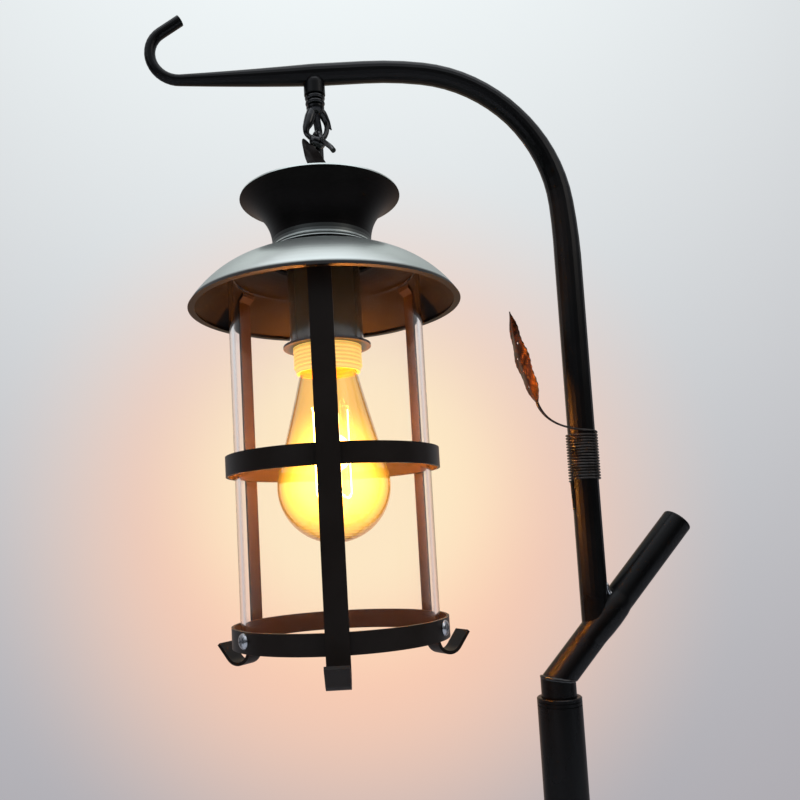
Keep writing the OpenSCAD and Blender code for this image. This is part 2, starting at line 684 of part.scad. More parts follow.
// The link's wire: open tail, bend over the eye's bar, shank, bend under the loop's bar
link_points = concat(
    [for (i = [0:5]) let (q = cubic([tail_reach, -tail_drop], [tail_reach - 3.5, -tail_drop * 0.62],
        [link_bend_r + 1, -tail_drop * 0.3], [link_bend_r, 0], i / 6)) eye_point(0, q[0], eye_bar_z + q[1])],
    [for (i = [0:10]) eye_point(0, link_bend_r * cos(18 * i), eye_bar_z + link_bend_r * sin(18 * i))],
    [for (i = [1:5]) eye_point(0, -link_bend_r * (1 - smooth(i / 5)), eye_bar_z - jog_l * i / 5)],
    [for (i = [0:5]) eye_point(-link_bend_r * smooth(i / 5), 0, loop_bar_z + jog_l * (1 - i / 5))],
    [for (i = [1:10]) eye_point(-link_bend_r * cos(18 * i), 0, loop_bar_z - link_bend_r * sin(18 * i))],
    [eye_point(link_bend_r + 0.4, 0, loop_bar_z + 2.2), eye_point(link_bend_r + 1.2, 0, loop_bar_z + 4.4)]);

module hook_link() {
    color("#1f2023") swept(link_points, link_wire_r, 10, [1, 0.3, 0]);
}

// A pointed leaf outline: two circles that meet at the leaf's ends
module leaf_outline(l, w) {
    r = (l * l / 4 + w * w / 4) / w;
    intersection() {
        translate([r - w / 2, 0]) circle(r = r, $fn = 120);
        translate([w / 2 - r, 0]) circle(r = r, $fn = 120);
    }
}

module hook_leaf() {
    lean = 25;
    mid_z = eye_bar_z - 1.4 - hook_leaf_l / 2 * cos(lean);
    color("#2b241f") at_hang(mid_z) translate([-8.6 + hook_leaf_l / 2 * sin(lean), -link_wire_r - seat, 0])
        rotate([90, -lean, 0]) linear_extrude(hook_leaf_t) leaf_outline(hook_leaf_l, hook_leaf_w);
}

// ---- The supply lead: in the base, up the pole, the branch and the arm, and down the sleeve.
// Its runs in the arm's plane follow the tubes, with short curves where the tubes meet.
lead_turn_r = 7;
groove_turn_r = 6;
lead_knee_l = arc_l(lead_turn_r * 2, branch_tilt);
knee_cut = lead_turn_r * 2 * tan(branch_tilt / 2);
lead_start_z = lead_groove_z + groove_turn_r;
branch_run_l = (upright_foot_z - stub_top_z) / cos(branch_tilt);
lead_runs = concat(
    [[stub_top_z - lead_start_z - knee_cut, 0], [lead_knee_l, -branch_tilt],
        [branch_run_l - 2 * knee_cut, 0], [lead_knee_l, branch_tilt], [upright_l - knee_cut, 0]],
    [for (i = [1:3]) bend_runs[i]],
    [[run_to_bend_l - lead_turn_r * tan((180 - arm_slope_a) / 2), 0],
        [arc_l(lead_turn_r, 180 - arm_slope_a), 180 - arm_slope_a], [2.4, 0]]);
lead_steps = [3, 4, 1, 4, 3, 2, 12, 2, 1, 6, 1];
lead_stations = stations([0, lead_start_z, 0], lead_runs, lead_steps);
groove_points = concat([[0, base_d / 2 - 5.2, lead_groove_z], [0, 40, lead_groove_z]],
    [for (a = [0:22.5:67.5]) [0, groove_turn_r * (1 - sin(a)), lead_groove_z + groove_turn_r * (1 - cos(a))]]);

module supply_lead() {
    color("#141416") swept(concat(groove_points, [for (s = lead_stations) [s[0] + lead_shift(s), 0, s[1]]]),
        lead_r, 8, [1, 0, 0]);
}
// The branch stands a little to the side of the pole's axis, so the lead eases over to it
function lead_shift(s) = branch_foot_x * smooth((s[1] - stub_top_z + 60) / 40);

// ---- The lead between the sleeve and the lantern, in two lengths that meet beside the link
lead_side = 4.4;
lead_back = -4.5;
lead_join_z = eye_bar_z - 21;
lead_low_z = loop_bar_z - 5;
lead_end_z = lantern_z + boss_z + boss_h - 1.5;

module lead_upper() {
    top = sleeve_z + 3.3;
    from = sleeve_z - 9.5;
    to = eye_bar_z + 5.5;
    color("#141416") swept(concat([[hang_x, 0, top], [hang_x, 0, from + 0.4]],
        [for (i = [0:10]) let (k = smooth(i / 10)) eye_point(lead_side * k, lead_back * k, from + (to - from) * i / 10)],
        [eye_point(lead_side, lead_back, to - 2), eye_point(lead_side, lead_back, lead_join_z)]),
        lead_r, 8, [0, 1, 0]);
}

module lead_lower() {
    from = loop_bar_z - 4;
    to = lead_end_z + 2.2;
    color("#141416") swept(concat([eye_point(lead_side, lead_back, lead_join_z),
        eye_point(lead_side, lead_back, from + 2)],
        [for (i = [0:10]) let (k = 1 - smooth(i / 10)) eye_point(lead_side * k, lead_back * k, from + (to - from) * i / 10)],
        [[hang_x, 0, to - 0.5], [hang_x, 0, lead_end_z]]),
        lead_r, 8, [0, 1, 0]);
}

// ---- The leaf and its wire, wound round the upright
wrap_r = arm_d / 2 + slip + 0.1 + wrap_wire_r;
wrap_z = pole_top_z + wrap_start_h;
wrap_top_z = wrap_z + wrap_turns * wrap_pitch;
// The turns start at the left of the upright and end at its right, half a turn more
wrap_a0 = 180;
wrap_a1 = -360 * wrap_turns;
wrap_steps = 24 * wrap_turns + 12;
function wrap_point(a, z) = [upright_x + wrap_r * cos(a), wrap_r * sin(a), z];
leaf_foot = [upright_x - 29.4, -wrap_r - 0.6, wrap_top_z + 17.8];
stem_rise = 1.2;
// The last quarter turn climbs towards the front, where the stem leaves along -X
wire_points = concat(
    [for (i = [0:3]) wrap_point(wrap_a0 + 8 - 2 * i, wrap_z - wrap_tail_l * (1 - i / 3.4))],
    [wrap_point(wrap_a0 + 1.5, wrap_z - 1.2), wrap_point(wrap_a0 - 1, wrap_z - 0.35)],
    [for (i = [1:wrap_steps]) wrap_point(wrap_a0 - 15 * i, wrap_z + wrap_pitch * 15 * i / 360)],
    [for (i = [1:6]) wrap_point(-15 * i, wrap_top_z + wrap_pitch / 2 + stem_rise * smooth(i / 7))],
    [for (i = [1:9]) cubic([upright_x, -wrap_r, wrap_top_z + wrap_pitch / 2 + stem_rise * 0.95],
        [upright_x - 14, -wrap_r, wrap_top_z + 3.3], [upright_x - 25, -wrap_r - 0.4, wrap_top_z + 6.8],
        leaf_foot, i / 9)]);

// Least distance between the wire's surface and itself, over points more than half a turn apart
wrap_gap = min([for (i = [0:2:len(wire_points) - 1]) for (j = [i + 12:2:min(i + 60, len(wire_points) - 1)])
    norm(wire_points[i] - wire_points[j])]) - 2 * wrap_wire_r;
echo(least_wire_gap_mm = wrap_gap);

module leaf_wire() {
    color("#2a2422") swept(wire_points, wrap_wire_r, 6, [0, 0, 1]);
}

// The leaf: a folded sheet with a pointed tip, a bowed midrib and a wavy edge
leaf_dir = unit([-0.24, -0.02, 0.97]);
leaf_side = unit(cross(leaf_dir, [cos(leaf_turn), sin(leaf_turn), 0]));
leaf_up = cross(leaf_side, leaf_dir);
function leaf_width(t) = leaf_w / 2 * pow(sin(180 * pow(t, 0.8)), 0.85) + 0.35;
function leaf_mid(t) = leaf_foot + leaf_dir * leaf_l * t + leaf_up * leaf_bow * sin(180 * t);
leaf_cols = [-1, -0.5, 0, 0.5, 1];
leaf_rows = 14;
function leaf_sheet(lift) = [for (i = [0:leaf_rows]) let (t = i / leaf_rows, w = leaf_width(t)) for (c = leaf_cols)
    leaf_mid(t) + leaf_side * c * w * cos(leaf_fold)
        + leaf_up * (abs(c) * w * sin(leaf_fold) + 0.5 * abs(c) * sin(900 * t) + lift)];

module leaf_blade() {
    n = len(leaf_cols);
    m = leaf_rows + 1;
    top = n * m;
    rim = concat([for (k = [0:n - 2]) [k, k + 1]], [for (i = [0:m - 2]) [i * n + n - 1, i * n + 2 * n - 1]],
        [for (k = [n - 1:-1:1]) [(m - 1) * n + k, (m - 1) * n + k - 1]], [for (i = [m - 1:-1:1]) [i * n, i * n - n]]);
    color("#3a2a22") polyhedron(points = concat(leaf_sheet(0), leaf_sheet(leaf_t)), convexity = 6,
        faces = concat(
            [for (i = [0:m - 2]) for (k = [0:n - 2]) let (a = i * n + k, b = a + 1, c = a + n, d = c + 1)
                for (f = [[a, b, c], [b, d, c], [top + a, top + c, top + b], [top + b, top + c, top + d]]) f],
            [for (e = rim) for (f = [[e[0], top + e[0], e[1]], [e[1], top + e[0], top + e[1]]]) f]));
}

// ---- Lantern: roof and the parts on its axis

module in_lantern() {
    translate([hang_x, 0, lantern_z]) rotate([0, 0, cage_turn]) children();
}

module top_loop() {
    bore = lead_r + 0.5;
    color("#1f2023") in_lantern() difference() {
        union() {
            translate([0, 0, boss_z]) cylinder(r = nipple_r + 1.6, h = boss_h);
            translate([0, 0, loop_centre_z]) rotate([0, 0, eye_turn - cage_turn - 90]) rotate([90, 0, 0])
                rotate_extrude($fn = 48) translate([loop_r, 0]) circle(r = bar_r, $fn = 24);
        }
        translate([0, 0, boss_z - 5]) cylinder(r = bore, h = 15);
        translate([0, 0, boss_z - 5]) cylinder(r = nipple_r + slip, h = nipple_top_z - boss_z + 5 + seat);
    }
}

module nipple() {
    bottom = body_neck_top_z - 4;
    color("#b9a76a") in_lantern() translate([0, 0, bottom]) tube(nipple_r, nipple_bore_r, nipple_top_z - bottom);
}

module nipple_nuts() {
    color("#b9a76a") in_lantern() for (z = [inner_nut_z, lower_nut_z, upper_nut_z])
        translate([0, 0, z]) hex_nut(15, nipple_nut_h, nipple_r + slip);
}

module crown_washer() {
    color("#1f2023") in_lantern() translate([0, 0, washer_z]) tube(nipple_r + 6, nipple_r + slip, 1.2);
}

module chimney() {
    w = roof_wall;
    base = chimney_base_z;
    c = [neck_r + flare_curve_r, neck_z];
    outside = concat([[neck_r + 1.2, base]], arc_points([neck_r + 0.6, base + 1.5], 1.4, -70, 80, 8),
        arc_points([neck_r + 2.2, base + 4.9], 2.2, 260, 180, 6),
        arc_points(c, flare_curve_r, 180, 180 - flare_a, 16));
    inside = concat(flip(arc_points(c, flare_curve_r + w, 180, 180 - flare_a, 16)), [[neck_r - w, base + w]]);
    color("#26272b") in_lantern() rotate_extrude($fn = 96)
        polygon(concat([[nipple_r + 0.3, base + w], [nipple_r + 0.3, base]], outside, inside));
}

module dome() {
    w = roof_wall;
    outside = concat([[nipple_r + 0.3, crown_top_z]], flip(arc_points([crown_r - 1.4, crown_z + 1.1], 1.1, -50, 90, 8)),
        [[crown_r - 0.7, crown_z + 0.08]],
        arc_points(dome_c, dome_curve_r, dome_a0, dome_a1, 18));
    lip = [[dome_r - lip_w, dome_rim_z], [dome_r - lip_w, dome_rim_z + w]];
    inner_a1 = dome_a1 + 1.2;
    inside = concat(flip(arc_points(dome_c, dome_curve_r - w, dome_a0, inner_a1, 18)),
        [[crown_r - 1.6, crown_z + 0.1], [crown_r - 1.8, crown_top_z - w], [nipple_r + 0.3, crown_top_z - w]]);
    color("#33353a") in_lantern() rotate_extrude($fn = 128) polygon(concat(outside, lip, inside));
}

// ---- Lantern: cage

module cage_ring(z) {
    color("#26201d") in_lantern() translate([0, 0, z]) difference() {
        cylinder(r = ring_r, h = ring_h, $fn = 96);
        translate([0, 0, -1]) cylinder(r = ring_r - ring_t, h = ring_h + 2, $fn = 96);
        if (z == 0) at_screws() rotate([0, -90, 0]) cylinder(r = screw_r + slip, h = 12, center = true);
    }
}

module at_screws() {
    for (k = [0:2]) rotate([0, 0, 120 * k - 30 + screw_phase]) translate([ring_r, 0, screw_z]) children();
}

module middle_ring() { cage_ring(middle_ring_z); }
module bottom_ring() { cage_ring(0); }

// One strap, on the +X side: tab under the dome, flat bar, curled foot
module strap(lift) {
    top = dome_z(cage_seat_r + strap_t, roof_wall) - 1;
    tab_out = dome_curve_r - roof_wall - seat;
    far = 2 * dome_rim_z;
    foot_z = lift - foot_drop;
    foot_c = [cage_seat_r + strap_t / 2 + foot_r, foot_z];
    last_a = 180 + foot_a;
    tip = foot_end_l * [-sin(last_a), cos(last_a)];
    outside = arc_points(foot_c, foot_r + strap_t / 2, 180, last_a, 20);
    inside = arc_points(foot_c, foot_r - strap_t / 2, 180, last_a, 20);
    translate([0, strap_w / 2, 0]) rotate([90, 0, 0]) linear_extrude(strap_w)
        polygon(concat([[cage_seat_r, top]], outside, [outside[20] + tip, inside[20] + tip],
            flip(inside), [[cage_seat_r + strap_t, top]]));
    intersection() {
        rotate([0, 0, -10]) rotate_extrude(angle = 20, $fn = 96) difference() {
            translate(dome_c) circle(r = tab_out, $fn = 180);
            translate(dome_c) circle(r = tab_out - strap_t, $fn = 180);
            translate([-dome_r, -far]) square([dome_r + glass_r + 1.2, 2 * far]);
            translate([cage_seat_r + strap_t - 0.4, -far]) square([dome_r, 2 * far]);
            translate([0, -far]) square([2 * dome_r, far + dome_c[1]]);
        }
        translate([0, -strap_w / 2 + 0.1, 0]) cube([2 * dome_r, strap_w - 0.2, 2 * dome_rim_z]);
    }
}

module cage_strap(k) {
    color("#26201d") in_lantern() rotate([0, 0, -90 + 120 * k])
        strap(k == 0 ? front_foot_lift : 0);
}

module strap_front() { cage_strap(0); }
module strap_right() { cage_strap(1); }
module strap_left() { cage_strap(-1); }

module glass_tube() {
    color([0.85, 0.92, 0.95, 0.35]) in_lantern() translate([0, 0, glass_z])
        tube(glass_r, glass_r - glass_wall, glass_top_z - glass_z);
}

module glass_screws() {
    shank_l = ring_r - glass_r + glass_wall + 1;
    color("silver") in_lantern() at_screws() rotate([0, 90, 0]) difference() {
        union() {
            translate([0, 0, seat]) rotate_extrude($fn = 48) polygon(concat([[0, 0]],
                [[screw_head_r - 0.2, 0], [screw_head_r, 0.5]],
                [for (a = [15:15:90]) [screw_head_r * cos(a), 0.5 + (screw_head_h - 0.5) * sin(a)]]));
            translate([0, 0, -shank_l]) cylinder(r = screw_r, h = shank_l + 0.5, $fn = 32);
        }
        for (a = [0, 90]) rotate([0, 0, a + 20]) translate([-2.3, -0.4, screw_head_h - 1.3]) cube([4.6, 0.8, 3]);
    }
}

// ---- Lantern: lampholder

module lampholder_cup() {
    e = 4;
    w = cup_wall;
    color("#3b3c3e") in_lantern() rotate_extrude($fn = 96) polygon(concat(
        [[nipple_r + 0.2, cup_top_z - w], [cup_r - e, cup_top_z - w]],
        flip(arc_points([cup_r - e, cup_top_z - e], e - w, 0, 90, 8)),
        [[cup_r - w, cup_mouth_z], [cup_r, cup_mouth_z]],
        arc_points([cup_r - e, cup_top_z - e], e, 0, 90, 8),
        [[nipple_r + 0.2, cup_top_z]]));
}

module lampholder_body() {
    neck = body_neck_top_z;
    color("#e8e2d2") in_lantern() rotate_extrude($fn = 96) polygon([
        [body_bore_r, body_z], [body_r, body_z], [body_r, body_top_z - 2], [body_r - 2, body_top_z],
        [9, body_top_z], [9, neck], [nipple_r + slip, neck], [nipple_r + slip, neck - 4 - seat],
        [lead_r + 0.4, neck - 4 - seat], [lead_r + 0.4, contact_z + 1.6], [body_bore_r, contact_z + 1.6]]);
}

module lampholder_skirt() {
    in_r = body_r + slip;
    low_in_r = body_bore_r + 3.2;
    shoulder = body_z - seat;
    ridges = 5;
    first = shade_ring_z - 1.2;
    color("#f2c860") in_lantern() rotate_extrude($fn = 96) difference() {
        union() {
            translate([low_in_r - 1, skirt_z + 3]) square([skirt_r - 0.6 - low_in_r + 1, body_z + 9 - skirt_z - 3]);
            translate([low_in_r - 1, first]) square([skirt_r - low_in_r + 1, body_z + 9 - first]);
            for (i = [0:ridges - 1]) translate([skirt_r - 0.9, first - ridge_pitch * (i + 0.5)])
                circle(r = 0.9, $fn = 20);
            polygon([[low_in_r - 1, skirt_z], [low_in_r + 0.9, skirt_z], [skirt_r - 0.6, skirt_z + 4],
                [low_in_r - 1, skirt_z + 4]]);
        }
        translate([-1, skirt_z - 1]) square([low_in_r + 1, 40]);
        translate([-1, shoulder]) square([in_r + 1, 40]);
    }
}

module shade_ring() {
    color("#8d6a55") in_lantern() translate([0, 0, shade_ring_z]) tube(shade_ring_r, skirt_r + slip, shade_ring_t);
}

module screw_shell() {
    color("#c8a24a") in_lantern() translate([0, 0, body_z + 3]) tube(shell_r + shell_t, shell_r, 22);
}

module centre_contact() {
    color("#c8a24a") in_lantern() translate([0, 0, contact_z]) {
        tube(5, 1, 0.5);
        translate([0, 0, 0.5]) tube(2.4, 1, 1.1 - seat);
    }
}

module lantern_lead() {
    bottom = contact_z + 1.6;
    color("#141416") in_lantern() translate([0, 0, bottom])
        cylinder(r = lead_r, h = lead_end_z - lantern_z - bottom, $fn = 24);
}

// ---- Bulb

bulb_neck_r = cap_crest_r - 0.9;

// The bulb's outline from its round end up its tapering neck; inset moves it inwards
function bulb_outline(inset) = let (r = bulb_r - inset, c = bulb_centre_z, a = 14, top = bulb_cap_z - 0.4)
    concat(arc_points([0, c], r, -90, a, 20),
        [for (i = [1:8]) let (t = i / 8, z0 = c + r * sin(a), z = z0 + (top - z0) * t)
            [cubic(r * cos(a), 24.6 - inset, 17.4 - inset, bulb_neck_r + 0.5 - inset, t), z]],
        [[bulb_neck_r - inset, bulb_cap_z], [bulb_neck_r - inset, bulb_cap_z + 1.8]]);

module bulb_glass() {
    outer = bulb_outline(0);
    inner = bulb_outline(bulb_wall);
    color([1, 0.8, 0.45, 0.4]) in_lantern() rotate_extrude($fn = 96) polygon(concat(outer, flip(inner)));
}

module bulb_cap() {
    turns = 5;
    pitch = 3.6;
    root = cap_crest_r - 0.8;
    color("#b8b2a4") in_lantern() translate([0, 0, bulb_cap_z]) rotate_extrude($fn = 64) difference() {
        union() {
            square([root, 20]);
            square([cap_crest_r - 0.1, 2.2]);
            for (i = [0:turns - 2]) translate([root - 0.6, 4.2 + pitch * i]) circle(r = 1.4, $fn = 24);
        }
        square([root - 0.5, 19.5]);
        square([bulb_neck_r + 0.25, 2.05]);
        square([5, 21]);
    }
}

module bulb_insulator() {
    z = bulb_cap_z + 20 + seat;
    color("#1d1f24") in_lantern() translate([0, 0, z]) cylinder(r1 = cap_crest_r - 1.2, r2 = 5.2, h = 4.2);
}

module bulb_contact() {
    z = bulb_cap_z + 24.2 + 2 * seat;
    color("#c9c4b8") in_lantern() translate([0, 0, z]) rotate_extrude()
        polygon(concat([[0, 0], [4.8, 0]], [for (a = [15:15:90]) [4.8 * cos(a), (bulb_top_z - z) * sin(a)]]));
}

filament_top_z = bulb_centre_z + 45;

module bulb_stem() {
    top = bulb_cap_z + 1.6;
    color([0.9, 0.9, 0.85, 0.5]) in_lantern() rotate_extrude($fn = 48) polygon([
        [0, filament_top_z - filament_l - 2], [0.75, filament_top_z - filament_l - 2], [0.75, filament_top_z + 4],
        [3.2, filament_top_z + 8], [4, top - 16], [5.2, top - 8], [11.2, top], [0, top]]);
}

// The filament: upright legs on a circle, joined in turn at the top and at the bottom
filament_bend_r = filament_cage_r * sin(180 / filament_legs);
function leg_at(i) = 360 / filament_legs * (i + 0.5);
filament_points = [for (i = [0:filament_legs - 1]) let (down = i % 2 == 0, a = leg_at(i),
        z0 = filament_top_z, z1 = filament_top_z - filament_l)
    for (q = down
        ? [[a, z0 - 2.6], [a, (z0 + z1) / 2], [a, z1 + 2.6], [a + 90 / filament_legs, z1 + 0.7],
            [a + 180 / filament_legs, z1]]
        : [[a - 90 / filament_legs, z1 + 0.7], [a, z1 + 2.6], [a, (z0 + z1) / 2], [a, z0 - 2.6],
            [a + 90 / filament_legs, z0 - 0.7], [a + 180 / filament_legs, z0], [a + 270 / filament_legs, z0 - 0.7]])
        if (!(i == filament_legs - 1 && q[0] > a)) [filament_cage_r * cos(q[0]), filament_cage_r * sin(q[0]), q[1]]];

module bulb_filament() {
    color("#ffd27a") in_lantern() swept(filament_points, filament_r, 6, [1, 1, 0]);
}

// Bent wires that hold the filament's bends on the stem, at the top and at the bottom
module filament_hooks() {
    step = 360 / filament_legs;
    reach = filament_cage_r - filament_r - seat;
    color("#8d8a84") in_lantern() for (i = [0:filament_legs - 2])
        rotate([0, 0, step * (i + 1)]) translate([0, 0, filament_top_z - (i % 2 == 0 ? filament_l : 0)])
            rotate([0, 90, 0]) translate([0, 0, 0.8]) cylinder(r = 0.25, h = reach - 0.8, $fn = 12);
}

base_pad();
base_weight();
base_cover();
base_washer();
base_nut();
base_stud();
cord_inlet();
pole_foot();
pole_lower();
coupler_lower();
pole_middle();
coupler_upper();
pole_upper();
pole_cap();
neck_stub();
branch_tube();
branch_plug();
arm_tube();
hanger_sleeve();
supply_lead();
leaf_wire();
leaf_blade();
hanger_eye();
hook_link();
hook_leaf();
lead_upper();
lead_lower();
top_loop();
nipple();
nipple_nuts();
crown_washer();
chimney();
dome();
strap_front();
strap_left();
strap_right();
middle_ring();
bottom_ring();
glass_tube();
glass_screws();
lampholder_cup();
lampholder_body();
lampholder_skirt();
shade_ring();
screw_shell();
centre_contact();
lantern_lead();
bulb_glass();
bulb_cap();
bulb_insulator();
bulb_contact();
bulb_stem();
filament_hooks();
bulb_filament();
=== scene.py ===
# %% [markdown]
# # A lantern floor lamp
# The lamp hangs a glass lantern from a bent steel tube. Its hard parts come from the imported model, so
# this file does three things: it gives every part a finish, it models the pieces that a solid modeller
# is poor at, and it sets up the light and the camera. Every length is in metres.

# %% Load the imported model
import math

import bpy
from mathutils import Matrix, Vector


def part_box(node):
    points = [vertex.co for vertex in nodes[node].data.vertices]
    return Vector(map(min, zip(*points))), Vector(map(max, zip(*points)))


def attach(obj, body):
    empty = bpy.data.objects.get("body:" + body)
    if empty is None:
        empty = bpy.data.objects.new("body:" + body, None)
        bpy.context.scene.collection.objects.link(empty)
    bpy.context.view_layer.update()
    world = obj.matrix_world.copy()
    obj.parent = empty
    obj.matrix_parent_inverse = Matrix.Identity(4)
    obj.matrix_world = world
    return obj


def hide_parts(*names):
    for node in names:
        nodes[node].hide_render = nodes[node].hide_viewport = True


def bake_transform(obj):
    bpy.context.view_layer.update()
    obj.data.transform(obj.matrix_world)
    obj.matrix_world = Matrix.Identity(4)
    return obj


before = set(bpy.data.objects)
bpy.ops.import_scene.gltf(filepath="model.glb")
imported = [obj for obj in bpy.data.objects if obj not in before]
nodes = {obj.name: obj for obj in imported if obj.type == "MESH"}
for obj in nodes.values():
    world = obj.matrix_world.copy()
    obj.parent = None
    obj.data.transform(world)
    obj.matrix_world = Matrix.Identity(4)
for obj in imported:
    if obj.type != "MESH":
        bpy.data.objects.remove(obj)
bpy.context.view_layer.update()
print("parts in the model:", len(nodes))

# %% [markdown]
# ## Units and places
# The model is drawn in millimetres, and Blender counts in metres. A tiny helper keeps the numbers
# readable. One place is needed again and again: the upright line on which the lantern hangs. It is
# measured from the bottom ring, so it doesn't go stale when the model changes.

# %% Millimetres and the lantern's axis
def mm(*values):
    """Millimetres to metres, for one number or a whole point."""
    return values[0] / 1000 if len(values) == 1 else Vector(values) / 1000


def middle(node):
    low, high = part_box(node)
    return (Vector(low) + Vector(high)) / 2


HANG = middle("bottom_ring").xy
print("lantern axis at x =", round(HANG.x, 4))

# %% [markdown]
# ## Camera
# The photograph was taken from close by, a little below the lantern, with the camera pitched up by five
# degrees and rolled by three. The lens and the shift were worked out from the two rings of the lantern,
# whose real size is known, so here they are just written down. The camera comes first, because a render
# through it is the quickest way to judge everything that follows.

# %% Camera at the photograph's angle
PICTURE_PX = 800
FOCAL_PX = 810.2
AXIS_PX = (369.82, 463.45)  # where the lens's own axis meets the picture
CAMERA_AT = mm(-174.4, -453.4, 1246.15)
heading, pitch, roll = math.radians(9.0), math.radians(5.06), math.radians(-3.09)
level = Vector((math.sin(heading), math.cos(heading), 0))
sideways = Vector((math.cos(heading), -math.sin(heading), 0))
gaze = math.cos(pitch) * level + math.sin(pitch) * Vector((0, 0, 1))
above = -math.sin(pitch) * level + math.cos(pitch) * Vector((0, 0, 1))
right = math.cos(roll) * sideways + math.sin(roll) * above
up = -math.sin(roll) * sideways + math.cos(roll) * above

lens = bpy.data.cameras.new("camera")
lens.sensor_width = 36
lens.lens = FOCAL_PX / PICTURE_PX * lens.sensor_width
lens.shift_x = (PICTURE_PX / 2 - AXIS_PX[0]) / PICTURE_PX
lens.shift_y = (AXIS_PX[1] - PICTURE_PX / 2) / PICTURE_PX
lens.clip_start = 0.01
camera = bpy.data.objects.new("camera", lens)
camera.matrix_world = Matrix.Translation(CAMERA_AT) @ Matrix((right, up, -gaze)).transposed().to_4x4()
bpy.context.collection.objects.link(camera)
bpy.context.scene.camera = camera
print("lens", round(lens.lens, 2), "mm")

# %% [markdown]
# ## Bars and wires that follow a line
# The wire round the arm, the leads and the eye are all round stock that was bent. In Blender such a piece
# is easiest to draw as a curve with a round bevel, whose radius may change from point to point. Turned into
# a mesh it is a closed tube, which is then given smooth shading. The points are given in millimetres.

# %% A round bar along a line
def drawn_bar(name, points, radii, sides=12, steps=4):
    """A closed round bar through the points; radii is one number or one for each point."""
    bpy.ops.object.select_all(action="DESELECT")
    line = bpy.data.curves.new(name, "CURVE")
    line.dimensions = "3D"
    line.bevel_depth = mm(1.0)
    line.bevel_resolution = sides // 2 - 2
    line.resolution_u = steps
    line.use_fill_caps = True
    spline = line.splines.new("BEZIER")
    spline.bezier_points.add(len(points) - 1)
    for i, (knot, point) in enumerate(zip(spline.bezier_points, points)):
        knot.co = Vector(point) / 1000
        knot.handle_left_type = knot.handle_right_type = "AUTO"
        knot.radius = radii[i] if isinstance(radii, list) else radii
    bar = bpy.data.objects.new(name, line)
    bpy.context.collection.objects.link(bar)
    bar.select_set(True)
    bpy.context.view_layer.objects.active = bar
    bpy.ops.object.convert(target="MESH")
    return close_up(bpy.context.object)


def close_up(piece, angle=40):
    """Merges doubles, points the faces outwards and smooths all but the sharp edges."""
    bpy.ops.object.select_all(action="DESELECT")
    piece.select_set(True)
    bpy.context.view_layer.objects.active = piece
    bpy.ops.object.mode_set(mode="EDIT")
    bpy.ops.mesh.select_all(action="SELECT")
    bpy.ops.mesh.remove_doubles(threshold=0.000005)
    bpy.ops.mesh.normals_make_consistent(inside=False)
    bpy.ops.object.mode_set(mode="OBJECT")
    bpy.ops.object.shade_smooth_by_angle(angle=math.radians(angle))
    return piece


def ease(t):
    """A share of the way that starts and ends slowly."""
    t = min(max(t, 0.0), 1.0)
    return t * t * (3 - 2 * t)


def between(a, b, c, d, t):
    """A point on the curve that starts at a towards b and ends at d from c."""
    a, b, c, d = Vector(a), Vector(b), Vector(c), Vector(d)
    return (1 - t) ** 3 * a + 3 * t * (1 - t) ** 2 * b + 3 * t * t * (1 - t) * c + t ** 3 * d


print("tools for bars ready")

# %% [markdown]
# ## The wire wound round the arm
# Annealed steel wire, a little over a millimetre thick, is wound sixteen times round the upright by hand.
# One end is pushed down along the tube, and the other leaves the top turn as the leaf's stem. The wire is
# one line from end to end, so it is drawn as one bar: a helix, then a slow curve.

# %% Wire and stem
UPRIGHT_X, UPRIGHT_R = 25.6, 8
POLE_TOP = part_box("pole_cap")[1][2] * 1000
WIRE_R = 0.6
WRAP_R = UPRIGHT_R + 0.77  # the wire's centre line, a hair off the tube
WRAP_Z = POLE_TOP + 123
TURNS, PITCH = 16, 1.7
WRAP_TOP = WRAP_Z + TURNS * PITCH
TURN_STEP = 15  # degrees from one point of the helix to the next
LEAF_FOOT = Vector((UPRIGHT_X - 29.4, -WRAP_R - WIRE_R, WRAP_TOP + 17.8))
LEAF_WAY = (-0.24, -0.02, 0.97)  # the direction in which stem and leaf point


def wrap_point(angle, z):
    return (UPRIGHT_X + WRAP_R * math.cos(math.radians(angle)), WRAP_R * math.sin(math.radians(angle)), z)


wire_line = [wrap_point(188 - 2 * i, WRAP_Z - 17 * (1 - i / 3.4)) for i in range(4)]
wire_line += [wrap_point(181.5, WRAP_Z - 1.2), wrap_point(179, WRAP_Z - 0.35)]
wire_line += [wrap_point(180 - TURN_STEP * i, WRAP_Z + PITCH * TURN_STEP * i / 360)
    for i in range(1, 24 * TURNS + 13)]
wire_line += [wrap_point(-TURN_STEP * i, WRAP_TOP + PITCH / 2 + 1.2 * ease(i / 7)) for i in range(1, 7)]
stem_from = (UPRIGHT_X, -WRAP_R, WRAP_TOP + PITCH / 2 + 1.2 * 0.95)
wire_line += [between(stem_from, (UPRIGHT_X - 14, -WRAP_R, WRAP_TOP + 3.3),
    (UPRIGHT_X - 25, -WRAP_R - 0.4, WRAP_TOP + 6.8), LEAF_FOOT, i / 9) for i in range(1, 10)]
wire_line += [LEAF_FOOT + Vector(LEAF_WAY) * 4]
wire_radii = [WIRE_R] * (len(wire_line) - 6) + [0.64, 0.68, 0.76, 0.88, 0.95, 0.6]
wound_wire = drawn_bar("wound_wire", wire_line, wire_radii, sides=10, steps=2)
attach(wound_wire, "stand")
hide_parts("leaf_wire")
print("wire:", len(wound_wire.data.vertices), "vertices")
